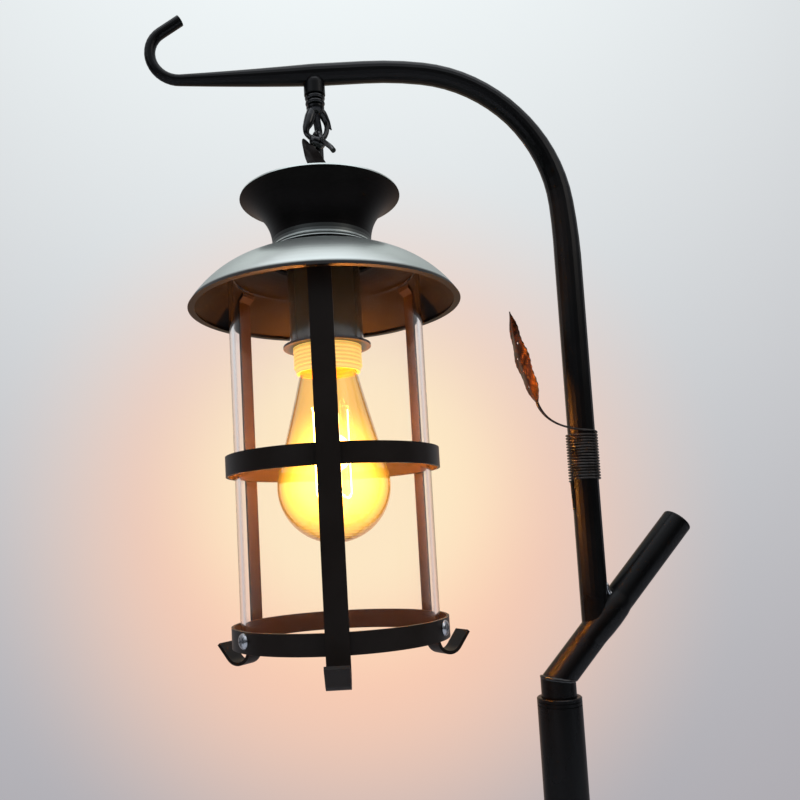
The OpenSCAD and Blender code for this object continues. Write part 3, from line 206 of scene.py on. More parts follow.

# %% [markdown]
# ## The weld at the fork
# The upright stands on the leaning tube in a saddle, welded all round and dressed with a file. The weld
# fills the corner, so the leaning tube looks a little swollen there and the seam runs straight. It is drawn
# as a thick short bar along the tube, a little to its front, whose ends sink into the tube. In the crotch
# sits a small bead of weld in bright zinc: partly bare metal, partly a painted highlight. The tube's foot
# has a rounder bead round the front of the stub.

# %% Fork weld
STUB_TOP = POLE_TOP + 10
LEAN = math.radians(43)
along_branch = Vector((math.sin(LEAN), 0, math.cos(LEAN)))
off_branch = Vector((-math.cos(LEAN), 0, math.sin(LEAN)))
branch_foot = Vector((0.9, 0, STUB_TOP))
fork_line = [(28, 8.1), (34, 8.6), (40, 9.05), (47, 9.25), (54, 9.05), (60, 8.1)]
fork_points = [branch_foot + along_branch * reach + off_branch * 0.3 + Vector((0, -1, 0))
    for reach, r in fork_line]
fork_weld = drawn_bar("fork_weld", fork_points, [r for reach, r in fork_line], 48)
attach(fork_weld, "stand")

crotch = branch_foot + along_branch * 56 + off_branch * 8.3
bead_line = [(1.6, -2.6, 1.0), (1.4, -1.0, 1.5), (0.2, 1.0, 1.2), (-0.5, 3.0, 1.0), (-0.7, 5.0, 1.1),
    (-1.2, 6.6, 0.5)]
# Bright zinc on this bead is partly a painted highlight in the crotch.
fork_bead_highlight = drawn_bar("fork_bead_highlight", [crotch + Vector((x, -4.2, z)) for x, z, r in bead_line],
    [r for x, z, r in bead_line], 12)
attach(fork_bead_highlight, "stand")

STUB_SLOPE = math.tan(math.radians(9.5))
FOOT_R = 9.3
foot_turns = [math.radians(a) for a in range(150, 351, 10)]
foot_line = [(FOOT_R * math.cos(a), FOOT_R * math.sin(a)) for a in foot_turns]
foot_radii = [0.5 + 0.9 * math.sin(math.pi * i / 20) ** 0.6 + 0.12 * math.sin(i * 2.4) for i in range(20)]
foot_weld = drawn_bar("foot_weld", [(x, y, STUB_TOP - x * STUB_SLOPE + 0.1) for x, y in foot_line],
    foot_radii + [0.5], 14)
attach(foot_weld, "stand")
print("fork at", [round(v, 1) for v in crotch])

# %% [markdown]
# ## The leaves
# Each leaf was cut from thin sheet, folded along its middle, hammered a little hollow and pierced with a
# few small holes. A flat grid is a good start, because its rows become the rows of the leaf: every row is
# placed at its share of the length and scaled to the width there, with small teeth along the edge. A few
# faces are taken out for the holes, then the sheet gets its thickness and one round of subdivision.

# %% A leaf from a grid
def cut_leaf(name, foot, along, across, length, width, fold, bow, holes=(), teeth=0.0, thick=0.6, rows=48):
    """A leaf of sheet from its foot along a direction; holes are the (row, column) of missing faces."""
    along, across = Vector(along).normalized(), Vector(across)
    across = (across - across.dot(along) * along).normalized()
    face = across.cross(along)
    bpy.ops.object.select_all(action="DESELECT")
    columns = 12
    bpy.ops.mesh.primitive_grid_add(x_subdivisions=columns, y_subdivisions=rows, size=2, calc_uvs=True)
    leaf = bpy.context.object
    leaf.name = name
    for vertex in leaf.data.vertices:
        share, side = (vertex.co.y + 1) / 2, vertex.co.x
        row = round(share * rows)
        wide = width / 2 * math.sin(math.pi * share ** 0.8) ** 0.85 + 0.35
        if abs(side) > 0.99:
            wide *= 1 + teeth * (0.6 - row % 3) / 1.4
        spot = Vector(foot) + along * length * share + face * bow * math.sin(math.pi * share)
        spot += across * side * wide * math.cos(math.radians(fold))
        spot += face * abs(side) * wide * math.sin(math.radians(fold))
        spot += face * 0.5 * math.sin(share * 19 + side * 2) * abs(side)
        vertex.co = spot / 1000
    bpy.ops.object.mode_set(mode="EDIT")
    bpy.ops.mesh.select_all(action="DESELECT")
    bpy.ops.object.mode_set(mode="OBJECT")
    for row, column in holes:
        leaf.data.polygons[row * columns + column].select = True
    if holes:
        bpy.ops.object.mode_set(mode="EDIT")
        bpy.ops.mesh.select_mode(type="FACE")
        bpy.ops.mesh.delete(type="FACE")
        bpy.ops.object.mode_set(mode="OBJECT")
    sheet = leaf.modifiers.new("sheet", "SOLIDIFY")
    sheet.thickness, sheet.offset = mm(thick), 0
    bpy.ops.object.modifier_apply(modifier="sheet")
    soft = leaf.modifiers.new("soft", "SUBSURF")
    soft.levels = soft.render_levels = 1
    bpy.ops.object.modifier_apply(modifier="soft")
    return close_up(leaf)


arm_leaf = cut_leaf("arm_leaf", LEAF_FOOT, LEAF_WAY, (-0.087, 0.996, 0), length=56.5, width=18, fold=9,
    bow=-2.4, holes=((9, 7), (17, 7), (24, 8), (31, 4)), teeth=0.1)
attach(arm_leaf, "stand")
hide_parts("leaf_blade")
print("leaf faces:", len(arm_leaf.data.polygons))

# %% [markdown]
# ## The hanger
# The lantern hangs from an eye that was forged from one bar: a beaded neck, two legs and a ring between
# them, with the right leg drawn out to a short beak. A link of bent wire goes through the ring, and a cut
# leaf sits on it. The neck is turned work, so a circle is extruded ring by ring. The two legs and the ring
# below them are one bar whose thickness changes, and the beak is a second bar. All three are joined.

# %% The eye
HX = HANG.x * 1000
SLEEVE_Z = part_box("hanger_sleeve")[0][2] * 1000
EYE_BAR_Z = SLEEVE_Z - 26.2
LOOP_BAR_Z = EYE_BAR_Z - 43.4
EYE_TURN = math.radians(26)


def eye_point(e, f, z):
    """A point in the eye's own plane: e along the ring, f square to it, z in height."""
    return (HX + e * math.cos(EYE_TURN) + f * math.sin(EYE_TURN),
        e * math.sin(EYE_TURN) - f * math.cos(EYE_TURN), z)


def turned(name, centre, profile, sides=48):
    """A turned piece: rings of the profile's (radius, height) in millimetres, from end to end."""
    bpy.ops.object.select_all(action="DESELECT")
    radius, height = profile[0]
    bpy.ops.mesh.primitive_circle_add(vertices=sides, radius=mm(radius), fill_type="NGON",
        location=(centre[0] / 1000, centre[1] / 1000, mm(height)))
    piece = bpy.context.object
    piece.name = name
    bpy.ops.object.transform_apply(location=True, rotation=True, scale=True)
    bpy.ops.object.mode_set(mode="EDIT")
    for next_radius, next_height in profile[1:]:
        bpy.ops.mesh.extrude_region_move(TRANSFORM_OT_translate={"value": (0, 0, mm(next_height - height))})
        ratio = next_radius / radius
        bpy.ops.transform.resize(value=(ratio, ratio, 1),
            center_override=(centre[0] / 1000, centre[1] / 1000, mm(next_height)))
        radius, height = next_radius, next_height
    bpy.ops.object.mode_set(mode="OBJECT")
    return close_up(piece, 50)


def joined(name, *pieces):
    """Several pieces made into one."""
    bpy.ops.object.select_all(action="DESELECT")
    for piece in pieces:
        piece.select_set(True)
    bpy.context.view_layer.objects.active = pieces[0]
    bpy.ops.object.join()
    pieces[0].name = name
    return pieces[0]


neck_profile = [(3.7, 2.1), (3.7, -0.3), (4.4, -0.35), (5.5, -0.8), (5.9, -1.7), (5.6, -2.5), (4.8, -2.95),
    (3.9, -3.1), (3.9, -3.5), (4.8, -3.65), (5.6, -4.2), (5.75, -4.9), (5.5, -5.6), (4.6, -6.0), (3.9, -6.15),
    (3.9, -6.5), (4.6, -6.65), (5.3, -7.3), (5.2, -8.4), (4.5, -9.8), (3.6, -11.0), (2.4, -11.6)]
neck = turned("neck", (HX, 0), [(r, SLEEVE_Z + z) for r, z in neck_profile])
ring_line = [(-1.2, -7.0, 2.2), (-2.7, -10.6, 3.0), (-4.0, -14.2, 3.2), (-5.4, -18.0, 2.9), (-7.0, -22.2, 2.0),
    (-6.2, -25.4, 1.5), (0, -26.2, 1.7), (4.0, -25.0, 1.6), (6.3, -21.9, 1.5), (7.3, -18.6, 1.5),
    (7.3, -16.0, 1.6), (5.6, -12.2, 1.9), (3.0, -8.8, 2.2), (1.0, -6.4, 2.0)]
ring = drawn_bar("ring", [eye_point(e, 0, SLEEVE_Z + z) for e, z, r in ring_line],
    [r for e, z, r in ring_line], 16)
beak_line = [(1.0, -7.2, 2.6), (4.6, -10.2, 2.7), (7.7, -14.4, 1.9), (10.4, -18.4, 0.35)]
beak = drawn_bar("beak", [eye_point(e, 0.2, SLEEVE_Z + z) for e, z, r in beak_line],
    [r for e, z, r in beak_line], 12)
eye_forging = joined("eye_forging", neck, ring, beak)
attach(eye_forging, "eye")
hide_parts("hanger_eye")
print("eye:", len(eye_forging.data.polygons), "faces")

# %% [markdown]
# ## The leaf and the knot on the link
# The small leaf is made as the large one is, with a stronger fold. Where the link goes round the eye's bar
# its end is hammered into a thick knot. The knot could be sculpted, but a short bar with a belly, laid along
# the eye's bar, has the same outline and far fewer faces.

# %% Link leaf and knot
lean = math.radians(25)
leaf_top = Vector((HX - 8.6, -2.2, EYE_BAR_Z - 1.4))
down = Vector((math.sin(lean), 0, -math.cos(lean)))
link_leaf = cut_leaf("link_leaf", leaf_top + down * 32, -down, (0.9, 0, 0.45), length=32, width=10.4,
    fold=20, bow=0.4, thick=0.9, rows=32)
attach(link_leaf, "link")
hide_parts("hook_leaf")

knot_line = [(-5.6, -28.2, 1.2), (-4.4, -28.6, 2.7), (-1.6, -29.4, 3.6), (1.6, -29.8, 3.2), (3.6, -30.2, 1.6)]
link_knot = drawn_bar("link_knot", [eye_point(e, 1.8, SLEEVE_Z + z) for e, z, r in knot_line],
    [r for e, z, r in knot_line], 20)
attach(link_knot, "link")
print("link leaf faces:", len(link_leaf.data.polygons))

# %% [markdown]
# ## The lead beside the link
# The lead is a round vinyl cord, held at both ends: it comes out of the eye's neck, passes the link and goes
# down into the lantern. The lantern swings in two places, so the lead is drawn as two lengths that meet
# beside the link. A cord that stayed stiff would come out of its holes at every swing.

# %% Lead in two lengths
LEAD_R = 2.3
SIDE, BACK = 4.4, -4.5  # where it passes the link, in the eye's own plane
join_z = EYE_BAR_Z - 21
upper_from, upper_to = SLEEVE_Z - 9.5, EYE_BAR_Z + 5.5
upper_line = [(HX, 0, SLEEVE_Z + 3.3), (HX, 0, upper_from + 0.4)]
upper_line += [eye_point(SIDE * ease(i / 10), BACK * ease(i / 10),
    upper_from + (upper_to - upper_from) * i / 10) for i in range(1, 11)]
upper_line += [eye_point(SIDE, BACK, (upper_to + join_z) / 2), eye_point(SIDE, BACK, join_z - 0.3)]
lead_above = drawn_bar("lead_above", upper_line, LEAD_R, sides=20)
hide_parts("lead_upper")
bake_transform(lead_above)

lower_from, lead_end = LOOP_BAR_Z - 4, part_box("lead_lower")[0][2] * 1000
lower_to = lead_end + 2.2
lower_line = [eye_point(SIDE, BACK, join_z + 0.3), eye_point(SIDE, BACK, lower_from + 2)]
lower_line += [eye_point(SIDE * (1 - ease(i / 10)), BACK * (1 - ease(i / 10)),
    lower_from + (lower_to - lower_from) * i / 10) for i in range(1, 10)]
lower_line += [(HX, 0, lower_to - 0.5), (HX, 0, lead_end)]
lead_below = drawn_bar("lead_below", lower_line, LEAD_R, sides=20)
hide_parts("lead_lower")
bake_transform(lead_below)
print("lead:", round(join_z - lead_end, 1), "mm below the join")

# %% [markdown]
# ## One way to write a colour and one way to add a node
# Colours are easiest to pick as sRGB hex values, as a screen shows them, but a shader counts in linear
# light. One function turns one into the other. A second one adds a node with its settings and links, so
# that a material reads from top to bottom like a recipe.

# %% Colour and node helpers
def colour(code, alpha=1.0):
    """An sRGB hex value such as "#1c1d1f" as linear red, green, blue and alpha."""
    parts = [int(code[i:i + 2], 16) / 255 for i in (1, 3, 5)]
    return tuple(c / 12.92 if c <= 0.04045 else ((c + 0.055) / 1.055) ** 2.4 for c in parts) + (alpha,)


def put(tree, kind, settings=None, inputs=None):
    """Adds a node, sets its properties, and fills or links its inputs by name or number."""
    node = tree.nodes.new(kind)
    for name, value in (settings or {}).items():
        setattr(node, name, value)
    for name, value in (inputs or {}).items():
        if isinstance(value, bpy.types.NodeSocket):
            tree.links.new(value, node.inputs[name])
        else:
            node.inputs[name].default_value = value
    return node


def start_finish(name, sockets):
    """A new material with its Principled shader set, ready for a pattern."""
    made = bpy.data.materials.new(name)
    made.use_nodes = True
    shader = made.node_tree.nodes["Principled BSDF"]
    for socket, value in sockets.items():
        shader.inputs[socket].default_value = value
    return made, made.node_tree, shader


def per_metre(size_mm):
    """The scale of a pattern whose features are size_mm across."""
    return 1000 / size_mm


def dress(finish, *names):
    """Gives CAD parts or new pieces one finish in every material slot."""
    for name in names:
        piece = nodes[name] if isinstance(name, str) else name
        piece.data.materials.clear()
        piece.data.materials.append(finish)
    print(finish.name, "on", len(names), "pieces")


FINE_BUMP = 0.00001  # a hundredth of a millimetre, enough to break up a highlight
print("black in linear light:", [round(v, 4) for v in colour("#060606")])

# %% [markdown]
# ## Powder coat
# The pole, the arm and the cage are steel under a dark powder coat. The powder is sprayed on dry and
# melted in an oven, so it flows out into a satin skin with a faint orange peel, about a millimetre from
# crest to crest. That peel is what breaks up a highlight on the tube. It is made here as a low bump, and a
# second, far slower noise shifts the roughness and the shade, as handling does.

# %% Satin powder coats
def powder_coat(name, code, roughness, ior, peel_mm=1.3, peel_depth=FINE_BUMP):
    finish, tree, shader = start_finish(name, {"IOR": ior})
    place = put(tree, "ShaderNodeTexCoord").outputs["Object"]
    peel = put(tree, "ShaderNodeTexNoise", inputs={"Vector": place, "Scale": per_metre(peel_mm), "Detail": 2.0})
    handling = put(tree, "ShaderNodeTexNoise", inputs={"Vector": place, "Scale": per_metre(34), "Detail": 4.0})
    rough = put(tree, "ShaderNodeMapRange", inputs={"Value": handling.outputs["Fac"], "From Min": 0.3,
        "From Max": 0.7, "To Min": roughness - 0.05, "To Max": roughness + 0.06})
    tint = put(tree, "ShaderNodeMapRange", inputs={"Value": handling.outputs["Fac"], "From Min": 0.35,
        "From Max": 0.65, "To Min": 0.92, "To Max": 1.08})
    shade = put(tree, "ShaderNodeVectorMath", {"operation": "SCALE"}, {0: colour(code)[:3],
        "Scale": tint.outputs[0]})
    bump = put(tree, "ShaderNodeBump", inputs={"Strength": 1.0, "Distance": peel_depth,
        "Height": peel.outputs["Fac"]})
    tree.links.new(shade.outputs[0], shader.inputs["Base Color"])
    tree.links.new(rough.outputs[0], shader.inputs["Roughness"])
    tree.links.new(bump.outputs["Normal"], shader.inputs["Normal"])
    return finish


STAND_PARTS = ["base_cover", "pole_foot", "pole_lower", "coupler_lower", "pole_middle", "coupler_upper",
    "pole_upper", "pole_cap", "neck_stub", "branch_tube", "branch_plug", "arm_tube", "hanger_sleeve"]
CAGE_PARTS = ["strap_front", "strap_left", "strap_right", "middle_ring", "bottom_ring"]
# Nearly black, with a soft line of light along the upper side of each tube.
black_coat = powder_coat("powder coat satin black", "#060606", 0.3, ior=1.31)
# Smoother and shinier than the tubes, for the small washer inside the chimney.
roof_coat = powder_coat("powder coat satin graphite", "#060707", 0.25, ior=1.75)
# The same black over hammered steel: small sharp lights on the hanger and on the weld.
forged_coat = powder_coat("powder coat on forged steel", "#050606", 0.2, ior=1.6, peel_mm=2.2,
    peel_depth=2 * FINE_BUMP)
# A warmer black, which turns brown where the bulb lights the inside of the cage.
cage_coat = powder_coat("powder coat brown black", "#1b1511", 0.34, ior=1.31)
dress(black_coat, *STAND_PARTS, fork_weld)
dress(roof_coat, "crown_washer")
dress(forged_coat, "hook_link", "top_loop", eye_forging, link_knot, foot_weld)
dress(cage_coat, *CAGE_PARTS, link_leaf)

# %% [markdown]
# ## Lacquer on the dome and the chimney
# Dome and chimney have a graphite lacquer with fine metal flakes. The flakes lie flat in the wet lacquer,
# so it shines like dull metal where it faces the ceiling. Faces that look up, above the rim, get a pale
# tone, while faces that look down and the rolled rim get a dark brown-black. That split is partly a two-coat
# finish and partly painted light: the pale tone where the ceiling's light falls, and painted shade under the
# roof and on the rim. The height and the surface's own direction tell the two apart.

# %% Graphite lacquer on faces that look up, painted shade below
def dome_lacquer_and_shade(rim_z):
    finish, tree, shader = start_finish("graphite flake lacquer and painted shade", {"Metallic": 0.9})
    place = put(tree, "ShaderNodeTexCoord").outputs["Object"]
    flakes = put(tree, "ShaderNodeTexNoise", inputs={"Vector": place, "Scale": per_metre(0.7), "Detail": 2.0})
    cloud = put(tree, "ShaderNodeTexNoise", inputs={"Vector": place, "Scale": per_metre(45), "Detail": 3.0})
    facing = put(tree, "ShaderNodeSeparateXYZ", inputs={
        0: put(tree, "ShaderNodeNewGeometry").outputs["Normal"]})
    height = put(tree, "ShaderNodeSeparateXYZ", inputs={0: place})
    # Painted light: only faces that look up, above the rim, get the pale tone; the rest is dark brown-black,
    # partly painted shade.
    up_facing_lit = put(tree, "ShaderNodeMapRange", {"interpolation_type": "SMOOTHSTEP"}, {
        "Value": facing.outputs["Z"], "From Min": -0.1, "From Max": 0.22})
    above_rim = put(tree, "ShaderNodeMapRange", {"interpolation_type": "SMOOTHSTEP"}, {
        "Value": height.outputs["Z"], "From Min": rim_z + mm(1.6), "From Max": rim_z + mm(3.6)})
    lit_outside_mask = put(tree, "ShaderNodeMath", {"operation": "MULTIPLY"}, {0: up_facing_lit.outputs[0],
        1: above_rim.outputs[0]})
    tone = put(tree, "ShaderNodeMix", {"data_type": "RGBA"}, {0: cloud.outputs["Fac"], 6: colour("#c8d0ca"),
        7: colour("#dde4de")})
    base = put(tree, "ShaderNodeMix", {"data_type": "RGBA"}, {0: lit_outside_mask.outputs[0], 6: colour("#171514"),
        7: tone.outputs[2]})
    rough = put(tree, "ShaderNodeMapRange", inputs={"Value": lit_outside_mask.outputs[0], "To Min": 0.45, "To Max": 0.3})
    bump = put(tree, "ShaderNodeBump", inputs={"Strength": 1.0, "Distance": FINE_BUMP / 2,
        "Height": flakes.outputs["Fac"]})
    tree.links.new(base.outputs[2], shader.inputs["Base Color"])
    tree.links.new(rough.outputs[0], shader.inputs["Roughness"])
    tree.links.new(bump.outputs["Normal"], shader.inputs["Normal"])
    return finish


# A pale, soft shine on faces that look up, and a dark brown gleam over painted shade under the roof.
dress(dome_lacquer_and_shade(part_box("dome")[0][2]), "dome", "chimney")

# %% [markdown]
# ## Plain shop metals
# Screws are zinc plated, the threaded parts of a lampholder are brass, the weight in the base is grey
# cast iron, and the bulb's cap is drawn from aluminium. Each has a different texture: zinc is smooth with a
# bluish white shine, turned brass is finer still, and a sand casting is pitted by the grains of its mould.

# %% Zinc, brass, cast iron, aluminium
def shop_metal(name, code, roughness, grain_mm, depth):
    finish, tree, shader = start_finish(name, {"Base Color": colour(code), "Metallic": 1.0})
    place = put(tree, "ShaderNodeTexCoord").outputs["Object"]
    grain = put(tree, "ShaderNodeTexNoise", inputs={"Vector": place, "Scale": per_metre(grain_mm),
        "Detail": 3.0})
    rough = put(tree, "ShaderNodeMapRange", inputs={"Value": grain.outputs["Fac"], "To Min": roughness - 0.08,
        "To Max": roughness + 0.08})
    bump = put(tree, "ShaderNodeBump", inputs={"Strength": 1.0, "Distance": depth,
        "Height": grain.outputs["Fac"]})
    tree.links.new(rough.outputs[0], shader.inputs["Roughness"])
    tree.links.new(bump.outputs["Normal"], shader.inputs["Normal"])
    return finish


# Bright screw heads, and a bead of weld whose bright zinc is partly a painted highlight: the only clean metal
# one sees.
zinc = shop_metal("zinc plate bright", "#c9ccd0", 0.24, 1.5, FINE_BUMP)
# A yellow glint down inside the chimney and the lampholder.
brass = shop_metal("brass turned", "#c79a4b", 0.3, 0.8, FINE_BUMP)
# Dull dark grey with pits, under the base.
iron = shop_metal("cast iron as cast", "#4a4a4c", 0.7, 2.0, 0.0002)
# Pale grey, round the bulb's neck and on the tiny hooks that hold the filament.
aluminium = shop_metal("aluminium drawn", "#cfcdc8", 0.32, 0.9, FINE_BUMP)
dress(zinc, "base_washer", "base_nut", "base_stud", "glass_screws", fork_bead_highlight)
dress(brass, "nipple", "nipple_nuts", "screw_shell", "centre_contact")
dress(iron, "base_weight")
dress(aluminium, "bulb_cap", "bulb_contact", "filament_hooks")

# %% [markdown]
# ## Rubber, cord jacket and mouldings
# Foam rubber is full of open cells, a moulded bush is smooth and dull, and a cord's jacket has the soft
# sheen of vinyl. The lampholder's cup is a glossy dark moulding, the body inside it is glazed ceramic, the
# shade ring is enamelled, and black glass closes the bulb's cap. All have a bump of their own size.

# %% Soft and moulded finishes
def moulding(name, code, roughness, cell_mm, depth, coat=0.0):
    finish, tree, shader = start_finish(name, {"Base Color": colour(code), "Roughness": roughness,
        "Coat Weight": coat, "Coat Roughness": 0.1})
    place = put(tree, "ShaderNodeTexCoord").outputs["Object"]
    cells = put(tree, "ShaderNodeTexNoise", inputs={"Vector": place, "Scale": per_metre(cell_mm),
        "Detail": 3.0})
    bump = put(tree, "ShaderNodeBump", inputs={"Strength": 1.0, "Distance": depth,
        "Height": cells.outputs["Fac"]})
    tree.links.new(bump.outputs["Normal"], shader.inputs["Normal"])
    return finish


# Matt and full of cells, a dark edge under the base.
foam = moulding("foam rubber", "#2a2a2a", 0.95, 1.2, 0.0004)
# Dull black, without any highlight of its own.
bush_rubber = moulding("moulded rubber", "#17181a", 0.6, 0.8, 2 * FINE_BUMP)
# A soft sheen along the lead.
jacket = moulding("vinyl cord jacket", "#121315", 0.42, 3.0, 3 * FINE_BUMP)
# Warm dark brown with a sharp reflection, so the cup shows the bright sides of the lantern.
bakelite = moulding("bakelite gloss", "#433a29", 0.16, 6.0, FINE_BUMP, coat=0.5)
# Creamy white and shiny, inside the cup.
ceramic = moulding("glazed ceramic", "#ded8c8", 0.25, 4.0, 2 * FINE_BUMP, coat=0.8)
# A thin brown brim between the cup and the glowing skirt.
ring_paint = moulding("satin brown enamel", "#2b211b", 0.35, 2.0, FINE_BUMP)
# Almost a mirror, but black, round the contact at the end of the cap.
black_glass = moulding("black glass", "#15161a", 0.12, 5.0, FINE_BUMP, coat=0.5)
dress(foam, "base_pad")
dress(bush_rubber, "cord_inlet")
dress(jacket, "supply_lead", "lantern_lead", lead_above, lead_below)
dress(bakelite, "lampholder_cup")
dress(ceramic, "lampholder_body")
dress(ring_paint, "shade_ring")
dress(black_glass, "bulb_insulator")

# %% [markdown]
# ## Glass that lets the bulb's light through
# Real glass bends light, and a path tracer finds the bulb through it only by luck, which costs grain and
# time. The usual cure is kept to shadows: a ray that only asks whether a lamp is visible goes straight
# through, while the eye and the reflections still meet glass. Window glass has an index of about 1.5. The
# lantern's tube is drawn evener and rounder than blown glass is, so at that index its two edges would bend
# the wall behind into wide grey bands; a lower index leaves the narrow pale bands that a real tube shows.

# %% Clear glass
def clear_glass(name, code, ior=1.5):
    finish, tree, shader = start_finish(name, {"Base Color": colour(code), "Roughness": 0.0, "IOR": ior,
        "Transmission Weight": 1.0})
    path = put(tree, "ShaderNodeLightPath")
    through = put(tree, "ShaderNodeBsdfTransparent", inputs={"Color": colour(code)})
    mix = put(tree, "ShaderNodeMixShader", inputs={0: path.outputs["Is Shadow Ray"], 1: shader.outputs[0],
        2: through.outputs[0]})
    tree.links.new(mix.outputs[0], tree.nodes["Material Output"].inputs["Surface"])
    return finish


# Hardly seen at all, apart from a narrow pale band down each side.
lantern_glass = clear_glass("soda lime glass", "#ffffff", ior=1.1)
# Clear glass with a thin amber wash, gold in the middle and brown at its outline.
bulb_glass = clear_glass("bulb glass amber wash", "#fff0d2", ior=1.35)
# A heavy bright glass rod in the middle of the bulb.
stem_glass = clear_glass("lead glass", "#f4f2ea")
dress(lantern_glass, "glass_tube")
dress(bulb_glass, "bulb_glass")
dress(stem_glass, "bulb_stem")

# %% [markdown]
# ## The glow inside the bulb
# The filament lights its own bulb from within, mostly at its own height, and the eye sees most of that
# light where it looks through the middle of the glass. So the bulb's glass gives off a little light of its
# own there. Towards the outline one looks through more of the amber wash, which is darker.

# %% Glow and amber rim
def add_glow(finish, code, strength, middle_z, reach):
    tree = finish.node_tree
    shader = tree.nodes["Principled BSDF"]
    height = put(tree, "ShaderNodeSeparateXYZ", inputs={0: put(tree, "ShaderNodeTexCoord").outputs["Object"]})
    off = put(tree, "ShaderNodeMath", {"operation": "SUBTRACT"}, {0: height.outputs["Z"], 1: middle_z})
    off = put(tree, "ShaderNodeMath", {"operation": "ABSOLUTE"}, {0: off.outputs[0]})
    band = put(tree, "ShaderNodeMapRange", {"interpolation_type": "SMOOTHSTEP"}, {"Value": off.outputs[0],
        "From Min": 0.0, "From Max": reach, "To Min": 1.0, "To Max": 0.02})
    edge = put(tree, "ShaderNodeLayerWeight", inputs={"Blend": 0.5})
    inner = put(tree, "ShaderNodeMapRange", {"interpolation_type": "SMOOTHSTEP"}, {
        "Value": edge.outputs["Facing"], "From Min": 0.0, "From Max": 0.42, "To Min": 1.0, "To Max": 0.0})
    both = put(tree, "ShaderNodeMath", {"operation": "MULTIPLY"}, {0: band.outputs[0], 1: inner.outputs[0]})
    power = put(tree, "ShaderNodeMath", {"operation": "MULTIPLY"}, {0: both.outputs[0], 1: strength})
    shader.inputs["Emission Color"].default_value = colour(code)
    tree.links.new(power.outputs[0], shader.inputs["Emission Strength"])
    rim = put(tree, "ShaderNodeMapRange", {"interpolation_type": "SMOOTHSTEP"}, {
        "Value": edge.outputs["Facing"], "From Min": 0.45, "From Max": 0.95})
    tint = put(tree, "ShaderNodeMix", {"data_type": "RGBA"}, {0: rim.outputs[0], 6: colour("#ffe8b8"),
        7: colour("#ab8649")})
    tree.links.new(tint.outputs[2], shader.inputs["Base Color"])


GLOW_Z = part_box("bulb_filament")[0][2] + mm(11)
add_glow(bulb_glass, "#ffc44a", 1.6, middle_z=GLOW_Z, reach=mm(42))
print("glow brightest at z =", round(GLOW_Z, 4))

# %% [markdown]
# ## What glows
# The filament is a carbon strand at about 2200 kelvin: nearly white where the eye meets it, and orange in
# all that it lights. The threaded skirt of the lampholder is a pale moulding lit from within by the bulb;
# that light is painted on as a glow of its own colour, with a painted highlight on each ridge of its thread
# and painted shade between them.

# %% Filament and glowing skirt
# White-hot wire, the brightest thing in the picture.
filament, _, _ = start_finish("carbon filament lit", {"Base Color": colour("#fff0d0"), "Roughness": 0.4,
    "Emission Color": colour("#ffd68a"), "Emission Strength": 40.0})
dress(filament, "bulb_filament")

# A warm yellow band of painted glow with fine rings of painted shade, above the bulb.
skirt, tree, shader = start_finish("translucent skirt lit", {"Base Color": colour("#f3d28a"), "Roughness": 0.4,
    "Emission Color": colour("#ffcb52")})
RIDGE_PITCH = mm(2.2)
RIDGE_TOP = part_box("shade_ring")[0][2] - mm(1.2) - RIDGE_PITCH / 2
ONE_TURN = 2 * math.pi / RIDGE_PITCH
# Painted light: the glow is strongest on each ridge of the thread and weakest between them.
height = put(tree, "ShaderNodeSeparateXYZ", inputs={0: put(tree, "ShaderNodeTexCoord").outputs["Object"]})
turns = put(tree, "ShaderNodeMath", {"operation": "MULTIPLY_ADD"}, {0: height.outputs["Z"], 1: ONE_TURN,
    2: -ONE_TURN * RIDGE_TOP})
ridge_glow = put(tree, "ShaderNodeMath", {"operation": "COSINE"}, {0: turns.outputs[0]})
power = put(tree, "ShaderNodeMapRange", inputs={"Value": ridge_glow.outputs[0], "From Min": -1.0, "To Min": 0.28,
    "To Max": 0.72})
tree.links.new(power.outputs[0], shader.inputs["Emission Strength"])
dress(skirt, "lampholder_skirt")

# %% [markdown]
# ## Dark wire and leaf sheet
# The wire and the large leaf are mild steel, browned by heat and sealed with wax. Browned steel is dark
# with warm patches, so a noise mixes two browns and changes the shine with them.

# %% Heat browned steel
def browned_steel(name, dark, warm, roughness, patch_mm):
    finish, tree, shader = start_finish(name, {"Metallic": 0.9})
    place = put(tree, "ShaderNodeTexCoord").outputs["Object"]
    patch = put(tree, "ShaderNodeTexNoise", inputs={"Vector": place, "Scale": per_metre(patch_mm),
        "Detail": 5.0})
    spread = put(tree, "ShaderNodeMapRange", inputs={"Value": patch.outputs["Fac"], "From Min": 0.42,
        "From Max": 0.68})
    mix = put(tree, "ShaderNodeMix", {"data_type": "RGBA"}, {0: spread.outputs[0], 6: colour(dark),
        7: colour(warm)})
    rough = put(tree, "ShaderNodeMapRange", inputs={"Value": patch.outputs["Fac"], "To Min": roughness - 0.12,
        "To Max": roughness + 0.12})
    bump = put(tree, "ShaderNodeBump", inputs={"Strength": 1.0, "Distance": 12 * FINE_BUMP,
        "Height": patch.outputs["Fac"]})
    tree.links.new(mix.outputs[2], shader.inputs["Base Color"])
    tree.links.new(rough.outputs[0], shader.inputs["Roughness"])
    tree.links.new(bump.outputs["Normal"], shader.inputs["Normal"])
    return finish


# Grey-brown turns, each with its own thin light.
dress(browned_steel("annealed wire", "#4b4845", "#2f2822", 0.24, 5), wound_wire)
# Rusty orange where the bulb shines on its folds, nearly black elsewhere.
dress(browned_steel("browned leaf sheet", "#1a120d", "#4a2e1a", 0.36, 3), arm_leaf)

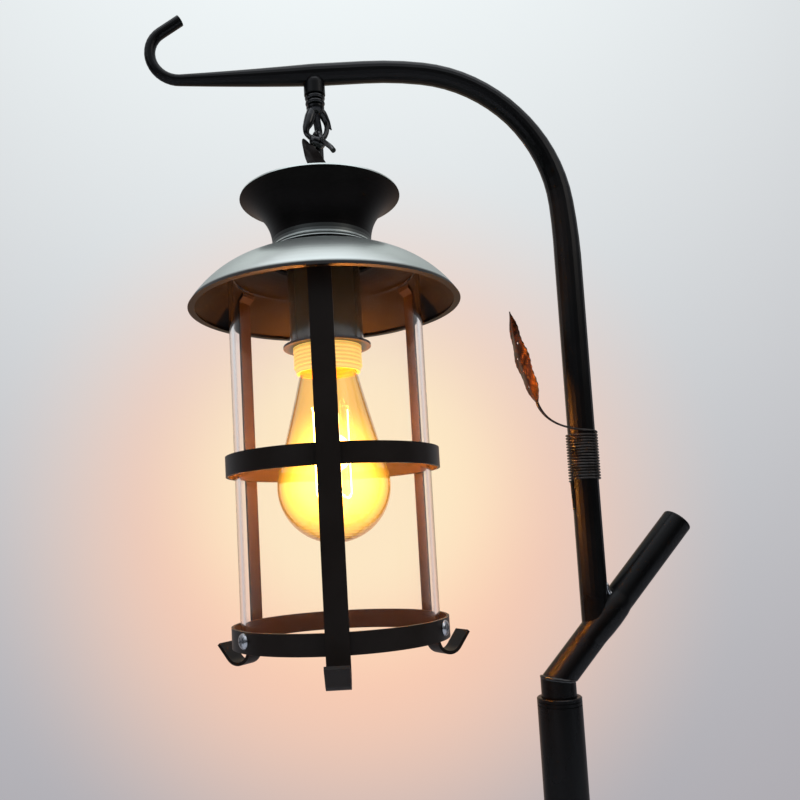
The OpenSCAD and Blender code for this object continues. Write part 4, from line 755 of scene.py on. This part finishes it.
# %% [markdown]
# ## Floor and wall
# The lamp stands on a plain pale floor in front of a plain pale wall. For the camera, for reflections and
# for what is seen through glass, the wall shows painted light: cool and bright at the top, where the room's
# light falls, a little darker lower down, and a painted warm glow behind the lantern, where the bulb lights
# it. For soft light it is an ordinary matt wall. It can be seen only from its front: from behind, every ray
# passes, so a view from the back isn't blocked.

# %% Floor and wall
WALL_PLACE, WALL_TURN = Vector((0.06, 0.45, 1.5)), math.radians(-9)
WALL_LIGHT = (-0.1, 0.75, 0)  # above the picture, where the room's own light falls on the wall
# Painted light: a warm glow of the bulb is painted on the wall round these two places.
WALL_GLOW = (-0.115, -0.25, 0)  # on the wall, straight behind the bulb as the camera sees it
GLOW_CORE = (-0.115, -0.18, 0)  # the palest place of the warm patch, a little higher
PLANE_SIZE = 9
bpy.ops.object.select_all(action="DESELECT")


def stage_plane(name, place, turn, finish):
    bpy.ops.mesh.primitive_plane_add(size=PLANE_SIZE, location=place, rotation=turn)
    plane = bpy.context.object
    plane.name = name
    plane.data.materials.append(finish)


def wall_paint_and_painted_light():
    finish, tree, shader = start_finish("wall paint and painted light", {"Base Color": colour("#d6d8dc"), "Roughness": 0.9})
    place = put(tree, "ShaderNodeTexCoord").outputs["Object"]
    # Painted light: pale near the room's light above the picture, greyer further away.
    below = put(tree, "ShaderNodeVectorMath", {"operation": "DISTANCE"}, {0: place, 1: WALL_LIGHT})
    painted_fall_off = put(tree, "ShaderNodeMapRange", {"interpolation_type": "SMOOTHSTEP"}, {
        "Value": below.outputs["Value"], "From Min": 0.0, "From Max": 1.6})
    plain = put(tree, "ShaderNodeMix", {"data_type": "RGBA"}, {0: painted_fall_off.outputs[0], 6: colour("#f7feff"),
        7: colour("#aba8ae")})
    # Painted light: a warm glow of the bulb, palest a little above the spot behind it.
    away = put(tree, "ShaderNodeVectorMath", {"operation": "DISTANCE"}, {0: place, 1: WALL_GLOW})
    glow_pool_mask = put(tree, "ShaderNodeMapRange", {"interpolation_type": "SMOOTHSTEP"}, {
        "Value": away.outputs["Value"], "From Min": 0.12, "From Max": 0.46, "To Min": 0.97, "To Max": 0.0})
    higher = put(tree, "ShaderNodeVectorMath", {"operation": "DISTANCE"}, {0: place, 1: GLOW_CORE})
    glow_core_mask = put(tree, "ShaderNodeMapRange", {"interpolation_type": "SMOOTHSTEP"}, {
        "Value": higher.outputs["Value"], "From Min": 0.1, "From Max": 0.26, "To Min": 1.0, "To Max": 0.0})
    painted_glow_tint = put(tree, "ShaderNodeMix", {"data_type": "RGBA"}, {0: glow_core_mask.outputs[0], 6: colour("#fccdb2"),
        7: colour("#ffe8c4")})
    warm = put(tree, "ShaderNodeMix", {"data_type": "RGBA"}, {0: glow_pool_mask.outputs[0], 6: plain.outputs[2],
        7: painted_glow_tint.outputs[2]})
    path = put(tree, "ShaderNodeLightPath")
    mirrored = put(tree, "ShaderNodeMath", {"operation": "SUBTRACT", "use_clamp": True}, {
        0: path.outputs["Is Glossy Ray"], 1: path.outputs["Is Transmission Ray"]})
    apart = put(tree, "ShaderNodeSeparateXYZ", inputs={0: place})
    # Painted light: in reflections the upper wall shines brighter.
    upper = put(tree, "ShaderNodeMapRange", {"interpolation_type": "SMOOTHSTEP"}, {"Value": apart.outputs["Y"],
        "From Min": 0.25, "From Max": 0.9, "To Min": 0.55, "To Max": 1.0})
    power = put(tree, "ShaderNodeMix", {"data_type": "FLOAT"}, {0: mirrored.outputs[0], 2: 1.0,
        3: upper.outputs[0]})
    shine = put(tree, "ShaderNodeEmission", inputs={"Color": warm.outputs[2], "Strength": power.outputs[0]})
    seen = put(tree, "ShaderNodeMath", {"operation": "MAXIMUM"}, {0: path.outputs["Is Camera Ray"],
        1: path.outputs["Is Glossy Ray"]})
    seen = put(tree, "ShaderNodeMath", {"operation": "MAXIMUM"}, {0: seen.outputs[0],
        1: path.outputs["Is Transmission Ray"]})
    front = put(tree, "ShaderNodeMixShader", inputs={0: seen.outputs[0], 1: shader.outputs[0],
        2: shine.outputs[0]})
    behind = put(tree, "ShaderNodeNewGeometry").outputs["Backfacing"]
    gone = put(tree, "ShaderNodeBsdfTransparent")
    whole = put(tree, "ShaderNodeMixShader", inputs={0: behind, 1: front.outputs[0], 2: gone.outputs[0]})
    tree.links.new(whole.outputs[0], tree.nodes["Material Output"].inputs["Surface"])
    return finish


# Pale and matt: it only catches the soft shadow of the base.
floor_paint, _, _ = start_finish("floor paint", {"Base Color": colour("#d9dade"), "Roughness": 0.8})
stage_plane("floor", (0, 0, -0.0005), (0, 0, 0), floor_paint)
# Painted light on the wall: white to grey, with a painted warm glow of the bulb behind the lantern, which makes
# the black lamp stand out.
stage_plane("wall", WALL_PLACE, (math.radians(90), 0, WALL_TURN), wall_paint_and_painted_light())
print("warm patch on the wall at", [round(v, 3) for v in WALL_GLOW])

# %% [markdown]
# ## The room
# The room is dim in front of the lamp and bright above it, so the black tubes stay black, with a soft line
# of light along their upper sides. The world does that: what a surface mirrors is dark at eye height and
# bright overhead, while the soft light and the background that the camera sees are even.

# %% World
SOFT_LEVEL, SEEN_LEVEL = 0.85, 0.92
world = bpy.data.worlds.new("room")
world.use_nodes = True
bpy.context.scene.world = world
room = world.node_tree
sky = room.nodes["Background"]
way = put(room, "ShaderNodeSeparateXYZ", inputs={0: put(room, "ShaderNodeTexCoord").outputs["Generated"]})
from_above = put(room, "ShaderNodeMapRange", {"interpolation_type": "SMOOTHSTEP"}, {"Value": way.outputs["Z"],
    "From Min": 0.1, "From Max": 0.95, "To Min": 0.02, "To Max": 1.0})
path = put(room, "ShaderNodeLightPath")
mirrored = put(room, "ShaderNodeMath", {"operation": "SUBTRACT", "use_clamp": True}, {
    0: path.outputs["Is Glossy Ray"], 1: path.outputs["Is Transmission Ray"]})
soft = put(room, "ShaderNodeMix", {"data_type": "FLOAT"}, {0: mirrored.outputs[0], 2: SOFT_LEVEL,
    3: from_above.outputs[0]})
seen = put(room, "ShaderNodeMath", {"operation": "MAXIMUM"}, {0: path.outputs["Is Camera Ray"],
    1: path.outputs["Is Transmission Ray"]})
level_now = put(room, "ShaderNodeMix", {"data_type": "FLOAT"}, {0: seen.outputs[0], 2: soft.outputs[0],
    3: SEEN_LEVEL})
sky.inputs["Color"].default_value = colour("#e4e9f2")
room.links.new(level_now.outputs[0], sky.inputs["Strength"])
print("world nodes:", len(room.nodes))

# %% [markdown]
# ## Lamps
# Three large panels add soft daylight: a window at the left, the ceiling, and a weaker one at the right. A
# small warm lamp at the filament gives the light of the bulb, which draws the orange lines on the upright
# and lights the cage and the dome from inside. A lit filament alone would need far more samples.

# %% Panels and the filament's light
def hang_light(name, light, place):
    stand = bpy.data.objects.new(name, light)
    stand.location = place
    bpy.context.collection.objects.link(stand)
    return stand


def panel(name, place, aim, size, watts, code):
    """An oblong light that faces a point."""
    light = bpy.data.lights.new(name, "AREA")
    light.shape = "RECTANGLE"
    light.size, light.size_y = size
    light.energy = watts
    light.color = colour(code)[:3]
    stand = hang_light(name, light, place)
    stand.rotation_mode = "QUATERNION"
    stand.rotation_quaternion = (Vector(aim) - Vector(place)).to_track_quat("-Z", "Y")


panel("window panel", (-2.0, -1.6, 2.4), (-0.1, 0, 1.35), (1.6, 1.6), 3.5, "#eef3ff")
panel("ceiling panel", (0.0, -0.1, 3.2), (0, 0, 1.3), (2.4, 1.6), 8, "#f6f9ff")
panel("side panel", (1.6, -1.5, 2.5), (-0.05, 0, 1.4), (1.0, 1.0), 3.5, "#fff6ee")

filament_light = bpy.data.lights.new("filament light", "POINT")
filament_light.energy = 3.8
filament_light.color = colour("#ffac5e")[:3]
filament_light.shadow_soft_size = mm(12)
hang_light("filament light", filament_light, (HANG.x, HANG.y, middle("bulb_filament").z))

bpy.context.scene.view_settings.view_transform = "Standard"
print("lamps:", len(bpy.data.lights))
